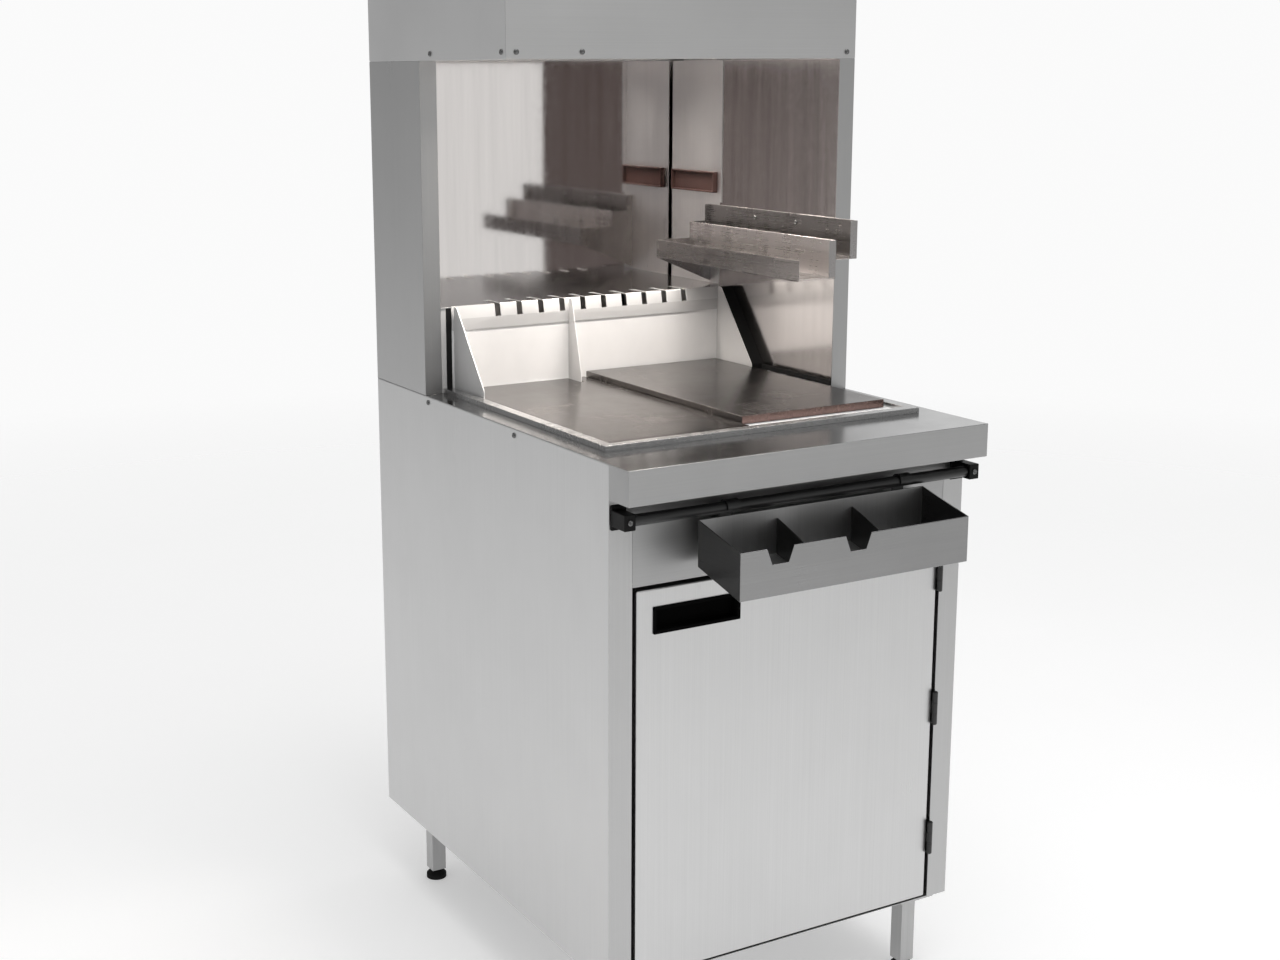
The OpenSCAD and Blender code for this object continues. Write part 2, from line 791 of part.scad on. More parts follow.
// The back and the top of the hood, folded from one sheet
module hood_cover() color(dull_steel) from_front() {
    block([-gantry_in, gantry_back, hood_low], [gantry_in, unit_d, total_h]);
    block([-gantry_in, screen_front + heavy_t, total_h - heavy_t], [gantry_in, gantry_back, total_h]);
}

// Flat straps that tie the hood's sides to the uprights and the screen
module hood_straps() color(dull_steel) from_front() {
    both_sides() strap(seam_front + seam_w);
    strap(screen_front + strap_in);
}

module strap(y) block([gantry_in - strap_t, y, hood_low - strap_side / 2],
                      [gantry_in, y + strap_side, hood_low + strap_side / 2]);

// The hood's ceiling, open over each lamp
module lamp_tray() color(bright_steel) from_front() difference() {
    block([strap_t - gantry_in, screen_front + heavy_t, lamp_tray_low],
          [gantry_in - strap_t, gantry_back, lamp_tray_top]);
    for (y = lamp_ys)
        block([-trough_half, y - reflector_w / 2, lamp_tray_low - cut],
              [trough_half, y + reflector_w / 2, lamp_tray_top + cut]);
}

// A reflector's section, in Y and Z from its mouth
module trough(wall, low) polygon([
    [-reflector_w / 2 - wall, low], [reflector_w / 2 + wall, low],
    [reflector_crown / 2 + wall, reflector_h - heavy_t + wall],
    [-reflector_crown / 2 - wall, reflector_h - heavy_t + wall]]);

module lamp_reflectors() color(bright_steel) from_front()
    for (y = lamp_ys) translate([0, y, lamp_tray_top]) difference() {
        along_x(-trough_half - heavy_t, trough_half + heavy_t) trough(heavy_t, 0);
        along_x(-trough_half, trough_half) trough(0, 0);
    }

module heat_lamps() color(glow) from_front()
    for (y = lamp_ys) translate([0, y, lamp_z]) rod_x(lamp_r, -lamp_len / 2, lamp_len / 2);

module lamp_holders() color(ceramic) from_front()
    for (y = lamp_ys) both_sides()
        block([lamp_len / 2, y - holder_half, lamp_z - holder_half],
              [trough_half, y + holder_half, lamp_z + holder_half]);

// Wire guards across the lamps' mouths, fixed under the tray
module lamp_guards() color(bright_steel) from_front()
    for (y = lamp_ys) translate([0, y, lamp_tray_low - wire_r]) {
        for (i = [0 : wire_count - 1])
            translate([(i - (wire_count - 1) / 2) * 2 * trough_half / wire_count, 0, 0])
                rod_y(wire_r, -reflector_w / 2 - guard_over, reflector_w / 2 + guard_over);
        for (side = [-1, 1])
            translate([0, side * reflector_w / 4, -guard_drop]) rod_x(wire_r, -trough_half, trough_half);
    }

module rack_low_row() color(steel) from_front() {
    block([low_x, low_front, rack_z], [low_x + rack_t, rack_rear, low_top]);
    block([low_x + rack_t, low_front, rack_z], [high_x, rack_rear, rack_z + rack_t]);
}

module rack_high_row() color(steel) from_front() {
    block([high_x, high_front, rack_z], [high_x + rack_t, rack_rear, high_top]);
    block([high_x + rack_t, high_front, high_floor], [rack_x - rack_t, rack_rear, high_floor + rack_t]);
    block([rack_x - rack_t, high_front, high_floor], [rack_x, rack_rear, back_top]);
    block([high_x - row_lip, high_front, rack_z + rack_t], [high_x, high_front + rack_t, high_top]);
    block([rack_x - rack_t - row_lip, high_front, high_floor + rack_t],
          [rack_x - rack_t, high_front + rack_t, back_top]);
}

// The stepped plate at the rack's rear end, braced against the upright, and the brackets
// from the screen
module rack_end_plates() color(steel) from_front() {
    along_y(rack_rear, rack_rear + rack_t) polygon([
        [low_x, rack_z], [flange_x, end_low], [flange_x, back_top], [rack_x - end_step, back_top],
        [rack_x - end_step, high_top], [high_x, high_top], [high_x, low_top], [low_x, low_top]]);
    for (y = bracket_ys) along_y(y, y + bracket_t) polygon([
        [low_x + end_step, rack_z], [flange_x, rack_z], [flange_x, rack_z - bracket_h]]);
    for (y = bracket_ys) block([rack_x, y, rack_z], [flange_x, y + bracket_t, high_top]);
}

// A moulded rest for the scoop, open towards the well
module scoop_rest() color(brown) from_front() difference() {
    block([flange_x - rest_d, rest_y0, rest_z], [flange_x, rest_y1, rest_z + rest_h]);
    block([flange_x - rest_d - cut, rest_y0 + rest_t, rest_z + rest_t],
          [flange_x - rest_t, rest_y1 - rest_t, rest_z + rest_h - rest_t]);
}

module bin_rail() color(black) from_front() translate([0, rail_in, rail_z])
    rod_x(rail_r, -rail_end, rail_end);

module rail_brackets() color(black) from_front() both_sides() {
    block([rail_end, rail_in - rail_r - arm_wall, rail_z - rail_r - arm_wall],
          [rail_end + rail_bracket_w, overhang - rail_plate_t, rail_z + rail_r + arm_wall]);
    block([rail_end - rail_plate_over, overhang - rail_plate_t, rail_z - rail_plate_rise],
          [rail_end + rail_bracket_w, overhang, rail_z + rail_plate_rise]);
}

module at_rail() from_front() translate([bin_right, rail_in, rail_z]) children();

// How far the bin's floor and rim have fallen at a given depth
function bin_drop(y) = bin_fall * (bin_rear - y) / bin_d;

// An upright slice through the bin between two depths, its floor and rim falling to the front
module bin_slice(y0, y1, low, high) polygon([
    for (corner = [[y0, low], [y1, low], [y1, high], [y0, high]])
        [corner[0], corner[1] - bin_drop(corner[0])]]);

// The bin, with a finger notch in front of its left and its middle compartment
module bin_box() color(dull_steel) at_rail() difference() {
    along_x(-bin_w / 2, bin_w / 2) bin_slice(bin_front, bin_rear, bin_low, bin_top);
    along_x(bin_t - bin_w / 2, bin_w / 2 - bin_t)
        bin_slice(bin_front + bin_t, bin_rear - bin_t, bin_low + bin_t, bin_top + cut);
    for (x = [-2 * bin_part, 0]) along_y(bin_front - cut, bin_front + bin_t + cut / 2) polygon([
        [x - bin_notch_foot / 2, notch_low], [x + bin_notch_foot / 2, notch_low],
        [x + bin_notch_w / 2, bin_front_top + bin_t], [x - bin_notch_w / 2, bin_front_top + bin_t]]);
}

// The bin's partitions, lower than its rim
module bin_dividers() color(dull_steel) at_rail() for (x = [-bin_part, bin_part])
    along_x(x - bin_t / 2, x + bin_t / 2) polygon([
        [bin_front + bin_t, bin_low + bin_t - bin_drop(bin_front + bin_t)],
        [bin_rear - bin_t, bin_low + bin_t - bin_drop(bin_rear - bin_t)],
        [bin_rear - bin_t, bin_top - divider_drop], [bin_front + bin_t, bin_front_top - divider_dip]]);

// Hooks over the rail, riveted to the bin's back
module bin_hooks() color(black) at_rail() for (x = [hook_in - bin_w / 2, bin_w / 2 - hook_in])
    along_x(x - hook_w / 2, x + hook_w / 2) {
        difference() {
            circle(r = bin_rear + hook_t);
            circle(r = bin_rear);
            translate([-2 * bin_rear, -2 * bin_rear - hook_tip]) square([4 * bin_rear, 2 * bin_rear]);
        }
        translate([bin_rear, bin_top - hook_lap]) square([hook_t, hook_lap + hook_rise]);
    }

// One leaf of a butt hinge: a plate, and a knuckle with its neck at each of the given thirds
module hinge_leaf(x0, z, thirds) translate([0, 0, z]) difference() {
    union() {
        block([x0, leaf_front, -hinge_h / 2], [x0 + leaf_t, overhang + leaf_d, hinge_h / 2]);
        for (third = thirds) translate([0, 0, (third - 0.5) * hinge_h / 3 + knuckle_gap / 2]) {
            translate([hinge_x, hinge_y, 0]) cylinder(r = hinge_r, h = hinge_h / 3 - knuckle_gap);
            block([x0, neck_front, 0], [x0 + leaf_t, leaf_front + cut, hinge_h / 3 - knuckle_gap]);
        }
    }
    translate([hinge_x, hinge_y, -hinge_h]) cylinder(r = pin_r + pin_clear, h = 2 * hinge_h);
}

module hinge_frame_leaves() color(black) from_front()
    for (z = hinge_zs) hinge_leaf(stile_x - leaf_t, z, [-1, 1]);

module hinge_door_leaves() color(black) from_front()
    for (z = hinge_zs) hinge_leaf(door_x1, z, [0]);

module hinge_pins() color(black) from_front() for (z = hinge_zs) translate([hinge_x, hinge_y, z]) {
    cylinder(r = pin_r, h = hinge_h, center = true);
    for (end = [-1, 1]) translate([0, 0, end * (hinge_h + pin_head_h) / 2])
        cylinder(r = pin_head_r, h = pin_head_h, center = true);
}

module door_skin() color(steel) from_front() difference() {
    block([door_x0, overhang, door_z0], [door_x1, door_rear, door_z1]);
    block([door_x0 + sheet_t, cab_skin, door_z0 + sheet_t],
          [door_x1 - sheet_t, door_rear + cut, door_z1 - sheet_t]);
    block([pull_x0, overhang - cut, pull_z0], [pull_x1, cab_skin + cut, pull_z1]);
}

// The door's inner sheet, with the striker for the magnet
module door_liner() color(dull_steel) from_front() {
    block([door_x0 + sheet_t, door_rear - sheet_t, door_z0 + sheet_t],
          [door_x1 - sheet_t, door_rear, door_z1 - sheet_t]);
    block([catch_x0, door_rear, fascia_low - catch_h],
          [catch_x0 + catch_w, door_rear + striker_t, door_z1 - sheet_t]);
}

module door_pull() color(black) from_front() difference() {
    union() {
        block([pull_x0 - pull_rim, overhang - pull_wall, pull_z0 - pull_rim],
              [pull_x1 + pull_rim, overhang, pull_z1 + pull_rim]);
        block([pull_x0, overhang, pull_z0], [pull_x1, overhang + pull_depth, pull_z1]);
    }
    block([pull_x0 + pull_wall, overhang - pull_wall - cut, pull_z0 + pull_wall],
          [pull_x1 - pull_wall, overhang + pull_depth - pull_wall, pull_z1 - pull_wall]);
}

module magnet_catch() color(black) from_front()
    block([catch_x0, door_rear + striker_t + slip_gap, fascia_low - catch_h],
          [catch_x0 + catch_w, door_rear + striker_t + slip_gap + catch_d, fascia_low]);

module control_box() color(dull_steel) from_front() difference() {
    block([control_x0, control_y + sheet_t, control_z0], [control_x1, control_y + control_d, control_z1]);
    block([control_x0 + sheet_t, control_y, control_z0 + sheet_t],
          [control_x1 - sheet_t, control_y + control_d - sheet_t, control_z1 - sheet_t]);
}

module control_panel() color(steel) from_front() difference() {
    block([control_x0, control_y, control_z0], [control_x1, control_y + sheet_t, control_z1]);
    translate([knob_x, 0, knob_z]) rod_y(spindle_r + pin_clear, control_y - cut, control_y + sheet_t + cut);
    translate([switch_x, 0, switch_z])
        block([-switch_w / 2, control_y - cut, -switch_h / 2],
              [switch_w / 2, control_y + sheet_t + cut, switch_h / 2]);
}

// The switch's body, the thermostat's body and the terminal block
module control_fittings() color(black) from_front() {
    translate([switch_x, 0, switch_z]) difference() {
        block([-switch_w / 2, control_y - switch_proud, -switch_h / 2],
              [switch_w / 2, control_y - switch_proud + switch_d, switch_h / 2]);
        block([switch_wall - switch_w / 2, control_y - switch_proud - cut, switch_wall - switch_h / 2],
              [switch_w / 2 - switch_wall, control_y - switch_proud + switch_d / 2,
               switch_h / 2 - switch_wall]);
        translate([0, rocker_y, 0])
            rod_x(axle_r + pin_clear, axle_in - slip_gap - switch_w / 2,
                  switch_w / 2 - axle_in + slip_gap);
    }
    translate([knob_x, 0, knob_z]) difference() {
        block([-thermostat_half, control_y + sheet_t, -thermostat_half],
              [thermostat_half, control_y + sheet_t + thermostat_d, thermostat_half]);
        rod_y(spindle_r + pin_clear, control_y, control_y + sheet_t + spindle_l + knob_gap);
    }
    translate([control_x0 + 2 * sheet_t, control_y + control_d - 2 * sheet_t - terminal_size[1],
               control_z0 + sheet_t])
        cube(terminal_size);
}

module thermostat_knob() color(black) from_front() translate([knob_x, control_y - knob_gap, knob_z]) {
    difference() {
        rod_y(knob_r, -knob_h, 0);
        for (a = [0 : flute_turn : 360 - flute_turn]) rotate([0, a, 0])
            translate([knob_r + flute_out, 0, 0]) rod_y(flute_r, -knob_h - cut, -knob_skirt);
    }
    block([-pointer_w / 2, -knob_h - pointer_h, knob_r / 3],
          [pointer_w / 2, -knob_h, knob_r - pointer_in]);
    rod_y(spindle_r, 0, knob_gap + spindle_l);
}

module switch_rocker() color(black) from_front() translate([switch_x, rocker_y, switch_z]) {
    rotate([rocker_rest, 0, 0])
        block([switch_wall + rocker_gap - switch_w / 2, -rocker_out, -rocker_h / 2],
              [switch_w / 2 - switch_wall - rocker_gap, rocker_in, rocker_h / 2]);
    rod_x(axle_r, axle_in - switch_w / 2, switch_w / 2 - axle_in);
}

// A straight length of conduit between two points
module conduit_run(a, b) {
    way = b - a;
    translate(a) rotate([0, acos(way[2] / norm(way)), atan2(way[1], way[0])])
        cylinder(r = conduit_r, h = norm(way));
}

module wiring_conduit() color(dull_steel) from_front() {
    stops = [
        [conduit_x, conduit_y, control_z1], [conduit_x, conduit_y, conduit_z],
        [conduit_x, conduit_back, conduit_z], [riser_x, conduit_back, conduit_z],
        [riser_x, conduit_back, lamp_tray_low]];
    for (i = [0 : len(stops) - 2]) conduit_run(stops[i], stops[i + 1]);
    for (i = [1 : len(stops) - 2]) translate(stops[i]) sphere(r = elbow_r);
}

// The supply cable's inlet through the cupboard's back
module cable_gland() color(black) from_front() translate([gland_x, 0, gland_z]) difference() {
    union() {
        rod_y(gland_r, gland_inner, gland_outer);
        for (y = [back_in - nut_l, back_in + sheet_t])
            translate([0, y, 0]) rotate([0, nut_flat_turn, 0]) rotate([-90, 0, 0])
                cylinder(r = gland_r + nut_over, h = nut_l, $fn = 6);
    }
    rod_y(gland_bore_r, gland_inner - cut, gland_outer + cut);
}

module screws() color(bright_steel) from_front() {
    both_sides() for (y = panel_screw_ys)
        translate([0, y, top_h - screw_drop]) rod_x(screw_r, half_w, half_w + screw_h);
    both_sides() for (y = hood_screw_ys)
        translate([0, y, hood_low + screw_drop]) rod_x(screw_r, half_w, half_w + screw_h);
    for (x = hood_screw_xs)
        translate([x, 0, hood_low + screw_drop]) rod_y(screw_r, screen_front - screw_h, screen_front);
    both_sides() translate([rail_end + rail_bracket_w / 2, 0, rail_z])
        rod_y(screw_r, rail_in - rail_r - arm_wall - screw_h, rail_in - rail_r - arm_wall);
    for (y = bracket_ys) translate([0, y + bracket_t / 2, (high_top + back_top) / 2])
        rod_x(screw_r, rack_x - rack_t - screw_h, rack_x - rack_t);
}

side_panels();
cabinet_back();
cabinet_floor();
stiles();
fascia_panel();
worktop();
legs();
leg_plugs();
pan_rim();
pan_floor();
pan_back_wall();
cheeks();
middle_divider();
carton_deck();
gap_strips();
heating_mat();
insulation_slab();
under_tray();
uprights();
right_screen();
back_panel();
hood_front();
hood_sides();
hood_cover();
hood_straps();
lamp_tray();
lamp_reflectors();
heat_lamps();
lamp_holders();
lamp_guards();
rack_low_row();
rack_high_row();
rack_end_plates();
scoop_rest();
bin_rail();
rail_brackets();
hinge_frame_leaves();
hinge_pins();
magnet_catch();
control_box();
control_panel();
control_fittings();
wiring_conduit();
cable_gland();
screws();
door_skin();
door_liner();
door_pull();
hinge_door_leaves();
bin_box();
bin_dividers();
bin_hooks();
left_plate();
right_tray();
foot_front_left();
foot_front_right();
foot_rear_left();
foot_rear_right();
thermostat_knob();
switch_rocker();
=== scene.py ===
import json
import math

import bmesh
import bpy
from bpy.props import FloatProperty, FloatVectorProperty, IntProperty, PointerProperty
from mathutils import Matrix, Vector


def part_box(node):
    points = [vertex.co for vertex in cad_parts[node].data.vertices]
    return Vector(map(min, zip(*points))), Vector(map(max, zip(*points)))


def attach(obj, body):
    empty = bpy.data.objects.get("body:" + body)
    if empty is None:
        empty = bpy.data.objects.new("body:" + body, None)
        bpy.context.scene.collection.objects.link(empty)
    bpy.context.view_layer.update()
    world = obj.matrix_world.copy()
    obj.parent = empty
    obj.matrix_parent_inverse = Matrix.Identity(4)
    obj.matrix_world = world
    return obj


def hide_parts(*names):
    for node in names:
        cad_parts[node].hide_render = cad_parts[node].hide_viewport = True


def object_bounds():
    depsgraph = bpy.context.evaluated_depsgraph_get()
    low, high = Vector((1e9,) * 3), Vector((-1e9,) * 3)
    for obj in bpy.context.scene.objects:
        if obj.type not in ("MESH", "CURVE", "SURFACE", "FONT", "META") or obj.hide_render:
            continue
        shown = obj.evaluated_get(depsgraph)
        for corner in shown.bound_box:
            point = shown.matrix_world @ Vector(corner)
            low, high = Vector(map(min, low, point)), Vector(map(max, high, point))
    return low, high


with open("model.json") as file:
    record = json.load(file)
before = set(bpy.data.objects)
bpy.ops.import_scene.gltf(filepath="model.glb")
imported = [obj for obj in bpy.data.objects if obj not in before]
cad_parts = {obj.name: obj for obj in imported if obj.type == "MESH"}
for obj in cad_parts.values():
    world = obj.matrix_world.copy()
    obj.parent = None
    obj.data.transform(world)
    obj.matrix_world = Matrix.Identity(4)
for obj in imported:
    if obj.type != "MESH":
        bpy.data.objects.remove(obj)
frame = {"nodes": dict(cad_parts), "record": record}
CAD_LOW, CAD_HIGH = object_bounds()
BODIES = frame["record"]["behaviour"]["bodies"]
BODY_OF = {node: body for body, nodes in BODIES.items() for node in nodes}
SLOT_OF = {row["node"]: row["material_slot"] for row in frame["record"]["subparts"]}

bl_info = {
    "name": "Serving Station Looks",
    "version": (1, 0, 0),
    "blender": (4, 5, 0),
    "location": "View3D > Sidebar > Station",
    "description": "Finishes and fine shapes for the heated serving station",
    "category": "Object",
}


def length(name, text, default):
    return FloatProperty(
        name=name, description=text, default=default, min=0.0, subtype="DISTANCE", unit="LENGTH")


def colour(name, text, default):
    return FloatVectorProperty(
        name=name, description=text, default=default, min=0.0, max=1.0, size=3, subtype="COLOR")


class StationSizes(bpy.types.PropertyGroup):
    fold_radius: length("Fold radius", "Outside radius of the worktop's and the hood's folds", 0.003)
    panel_fold: length("Panel fold", "Outside radius of folds in the thinner sheets", 0.002)
    moulding_radius: length("Moulding radius", "Edge radius of the moulded pieces", 0.0012)
    rim_radius: length("Rim radius", "Edge radius of cut sheet edges", 0.0004)
    # Depth of the painted shade along the plates' front
    plate_shade_depth: length("Browned depth", "Depth of the browned strip on the left plate's front", 0.02)
    filament_wire: length("Filament wire", "Radius of the lamps' filament wire", 0.0005)
    filament_turns: IntProperty(
        name="Filament turns", description="Turns in each lamp's filament", default=70, min=4)


class StationColours(bpy.types.PropertyGroup):
    steel: colour("Steel", "Satin stainless sheet", (0.60, 0.60, 0.60))
    polished: colour("Polished steel", "Mirror-bright panels", (0.74, 0.71, 0.70))
    pale: colour("Pale steel", "Bright sheets of the well", (0.88, 0.88, 0.88))
    level: colour("Cross-grained steel", "Sheets brushed from side to side", (0.42, 0.42, 0.42))
    plate: colour("Plate steel", "Worn lift-out plates", (0.17, 0.157, 0.15))
    dull: colour("Dull steel", "Bin and inner sheets", (0.46, 0.46, 0.46))
    dark: colour("Dark steel", "Screw heads", (0.16, 0.16, 0.16))
    black: colour("Black", "Mouldings and coated metal", (0.006, 0.006, 0.006))
    # Painted shade: this colour stands in for the rim's shadow along the plates' front edges, not for
    # heat browning
    browned: colour("Browned steel", "Edges of the plates, darkened by heat", (0.16, 0.11, 0.10))
    brown: colour("Brown", "Moulded scoop rest", (0.034, 0.019, 0.017))
    glow: colour("Lamp glow", "Light of the quartz lamps", (1.0, 0.93, 0.86))
    floor: colour("Floor", "Pale studio floor", (0.86, 0.86, 0.86))


def sizes():
    return bpy.context.scene.station_sizes


def colours():
    return bpy.context.scene.station_colours


# Finishes


# Range in which most values of a noise pattern lie
NOISE_LOW, NOISE_HIGH = 0.3, 0.7


def new_finish(name):
    material = bpy.data.materials.new(name)
    material.use_nodes = True
    tree = material.node_tree
    return material, tree, tree.nodes["Principled BSDF"]


def object_pattern(tree, scale=(1.0, 1.0, 1.0), turn=(0.0, 0.0, 0.0)):
    coords = tree.nodes.new("ShaderNodeTexCoord")
    mapping = tree.nodes.new("ShaderNodeMapping")
    mapping.inputs["Scale"].default_value = scale
    mapping.inputs["Rotation"].default_value = turn
    tree.links.new(coords.outputs["Object"], mapping.inputs["Vector"])
    return mapping.outputs["Vector"]


def noise(tree, vector, scale, detail=3.0, roughness=0.55):
    node = tree.nodes.new("ShaderNodeTexNoise")
    node.inputs["Scale"].default_value = scale
    node.inputs["Detail"].default_value = detail
    node.inputs["Roughness"].default_value = roughness
    tree.links.new(vector, node.inputs["Vector"])
    return node.outputs["Fac"]


def spread(tree, value, low, high, from_low=NOISE_LOW, from_high=NOISE_HIGH):
    node = tree.nodes.new("ShaderNodeMapRange")
    node.inputs["From Min"].default_value = from_low
    node.inputs["From Max"].default_value = from_high
    node.inputs["To Min"].default_value = low
    node.inputs["To Max"].default_value = high
    tree.links.new(value, node.inputs["Value"])
    return node.outputs["Result"]


def blend_values(tree, a, b, share):
    node = tree.nodes.new("ShaderNodeMix")
    node.data_type = "FLOAT"
    node.inputs["Factor"].default_value = share
    tree.links.new(a, node.inputs["A"])
    tree.links.new(b, node.inputs["B"])
    return node.outputs["Result"]


def tones(tree, value, dark, light, low=NOISE_LOW, high=NOISE_HIGH):
    node = tree.nodes.new("ShaderNodeValToRGB")
    node.color_ramp.elements[0].position = low
    node.color_ramp.elements[0].color = (*dark, 1.0)
    node.color_ramp.elements[1].position = high
    node.color_ramp.elements[1].color = (*light, 1.0)
    tree.links.new(value, node.inputs["Fac"])
    return node.outputs["Color"]


def relief(tree, shader, height, strength, distance):
    node = tree.nodes.new("ShaderNodeBump")
    node.inputs["Strength"].default_value = strength
    node.inputs["Distance"].default_value = distance
    tree.links.new(height, node.inputs["Height"])
    tree.links.new(node.outputs["Normal"], shader.inputs["Normal"])


def set_tone(tree, shader, value, dark, light, low=NOISE_LOW, high=NOISE_HIGH):
    tree.links.new(tones(tree, value, dark, light, low, high), shader.inputs["Base Color"])


def set_roughness(tree, shader, value, low, high):
    tree.links.new(spread(tree, value, low, high), shader.inputs["Roughness"])


def shade(tone, factor):
    return tuple(min(1.0, channel * factor) for channel in tone)


# Stretch of the grain pattern for sheets brushed along each axis
GRAIN = {"X": (3.0, 900.0, 900.0), "Y": (900.0, 3.0, 900.0), "Z": (900.0, 900.0, 3.0)}


def brushed_finish(name, tone, grain, rough, depth, cloud):
    """Stainless sheet with a fine grain along one axis, soft clouding and wiped smears."""
    material, tree, shader = new_finish(name)
    lines = noise(tree, object_pattern(tree, GRAIN[grain]), 1.0, 4.0, 0.6)
    clouds = noise(tree, object_pattern(tree), 5.0, 3.0)
    smears = noise(tree, object_pattern(tree, (1.0, 1.0, 0.35), (0.0, 0.4, 0.0)), 22.0, 5.0, 0.65)
    mixed = blend_values(tree, lines, clouds, 0.45)
    set_tone(tree, shader, mixed, shade(tone, 1.0 - cloud), shade(tone, 1.0 + cloud))
    worn = blend_values(tree, blend_values(tree, lines, smears, 0.5), clouds, 0.35)
    set_roughness(tree, shader, worn, rough - 0.07, rough + 0.09)
    relief(tree, shader, lines, depth, 0.0002)
    shader.inputs["Metallic"].default_value = 1.0
    return material


def polished_finish(name, tone, rough, waviness):
    """Bright sheet with faint upright wipe marks and a slight unevenness."""
    material, tree, shader = new_finish(name)
    wipes = noise(tree, object_pattern(tree, (60.0, 60.0, 2.5)), 1.0, 4.0, 0.6)
    waves = noise(tree, object_pattern(tree), 7.0, 1.0)
    spots = noise(tree, object_pattern(tree), 90.0, 5.0, 0.7)
    set_tone(tree, shader, wipes, shade(tone, 0.95), shade(tone, 1.03))
    set_roughness(tree, shader, blend_values(tree, wipes, spots, 0.5), rough - 0.02, rough + 0.06)
    relief(tree, shader, blend_values(tree, waves, wipes, 0.04), waviness, 0.004)
    shader.inputs["Metallic"].default_value = 1.0
    return material


def matt_finish(name, tone):
    """Pale matt sheet, rubbed a little brighter in patches."""
    material, tree, shader = new_finish(name)
    grains = noise(tree, object_pattern(tree), 700.0, 3.0)
    patches = noise(tree, object_pattern(tree, (1.0, 1.0, 0.5)), 9.0, 4.0, 0.6)
    set_tone(tree, shader, patches, shade(tone, 0.94), shade(tone, 1.04))
    set_roughness(tree, shader, blend_values(tree, grains, patches, 0.6), 0.42, 0.56)
    relief(tree, shader, grains, 0.08, 0.0002)
    shader.inputs["Metallic"].default_value = 0.15
    return material


# Share of the painted shade strip that is fully shaded, and how dark it is there
PLATE_SHADE_FULL, PLATE_SHADE_TONE = 0.6, 0.35


def worn_plate_and_shade_finish(name, tone, shade_tone, front, plate_shade_depth):
    """Lift-out plates: cross-scratched steel with a warm, uneven film, and painted shade along the front
    edge.
    """
    material, tree, shader = new_finish(name)
    scratches = noise(tree, object_pattern(tree, (9.0, 700.0, 60.0), (0.0, 0.0, 0.35)), 1.0, 4.0, 0.65)
    crossing = noise(tree, object_pattern(tree, (500.0, 7.0, 60.0), (0.0, 0.0, -0.25)), 1.0, 4.0, 0.65)
    film = noise(tree, object_pattern(tree), 11.0, 4.0, 0.6)
    marks = blend_values(tree, scratches, crossing, 0.5)
    clean = tones(tree, blend_values(tree, marks, film, 0.6), shade(tone, 0.84), shade(tone, 1.10))
    # Painted shade: a dark strip along the plates' front, fading out towards the back
    split = tree.nodes.new("ShaderNodeSeparateXYZ")
    tree.links.new(object_pattern(tree), split.inputs["Vector"])
    plate_shading = tree.nodes.new("ShaderNodeMix")
    plate_shading.data_type = "RGBA"
    full, end = front + PLATE_SHADE_FULL * plate_shade_depth, front + plate_shade_depth
    share = spread(tree, split.outputs["Y"], 1.0, 0.0, full, end)
    tree.links.new(share, plate_shading.inputs["Factor"])
    tree.links.new(clean, plate_shading.inputs["A"])
    plate_shading.inputs["B"].default_value = (*shade_tone, 1.0)
    tree.links.new(plate_shading.outputs["Result"], shader.inputs["Base Color"])
    set_roughness(tree, shader, blend_values(tree, marks, film, 0.5), 0.16, 0.32)
    relief(tree, shader, marks, 0.12, 0.0002)
    shader.inputs["Metallic"].default_value = 1.0
    return material


def moulded_finish(name, tone, rough, grain, depth, gloss):
    """Moulded plastic with a fine spark texture, paler on its handled edges."""
    material, tree, shader = new_finish(name)
    grains = noise(tree, object_pattern(tree), grain, 2.0)
    patches = noise(tree, object_pattern(tree), 35.0, 3.0)
    edges = tree.nodes.new("ShaderNodeNewGeometry").outputs["Pointiness"]
    wear = blend_values(tree, blend_values(tree, grains, patches, 0.5), edges, 0.4)
    set_tone(tree, shader, wear, shade(tone, 0.8), shade(tone, 1.6))
    set_roughness(tree, shader, blend_values(tree, grains, patches, 0.6), rough - 0.08, rough + 0.10)
    relief(tree, shader, grains, depth, 0.0002)
    shader.inputs["Specular IOR Level"].default_value = gloss
    return material


def coated_finish(name, tone):
    """Black coated metal, a little glossy, worn greyer in patches."""
    material, tree, shader = new_finish(name)
    peel = noise(tree, object_pattern(tree), 450.0, 2.0)
    patches = noise(tree, object_pattern(tree), 28.0, 4.0, 0.6)
    set_tone(tree, shader, patches, shade(tone, 0.8), shade(tone, 2.0))
    set_roughness(tree, shader, blend_values(tree, peel, patches, 0.5), 0.26, 0.46)
    relief(tree, shader, peel, 0.10, 0.0003)
    shader.inputs["Specular IOR Level"].default_value = 0.6
    return material


def ceramic_finish(name):
    material, tree, shader = new_finish(name)
    flecks = noise(tree, object_pattern(tree), 160.0, 4.0)
    set_tone(tree, shader, flecks, (0.70, 0.66, 0.58), (0.84, 0.81, 0.74))
    set_roughness(tree, shader, flecks, 0.28, 0.42)
    relief(tree, shader, flecks, 0.08, 0.0004)
    return material


def heating_mat_finish(name):
    """Red silicone sheet with the printed heater track showing through."""
    material, tree, shader = new_finish(name)
    track = tree.nodes.new("ShaderNodeTexWave")
    track.inputs["Scale"].default_value = 12.0
    track.inputs["Distortion"].default_value = 0.6
    tree.links.new(object_pattern(tree), track.inputs["Vector"])
    weave = noise(tree, object_pattern(tree), 900.0, 2.0)
    gaps, lines = (0.30, 0.045, 0.025), (0.42, 0.075, 0.045)
    set_tone(tree, shader, track.outputs["Fac"], gaps, lines, 0.45, 0.55)
    set_roughness(tree, shader, weave, 0.45, 0.65)
    relief(tree, shader, weave, 0.2, 0.0003)
    return material


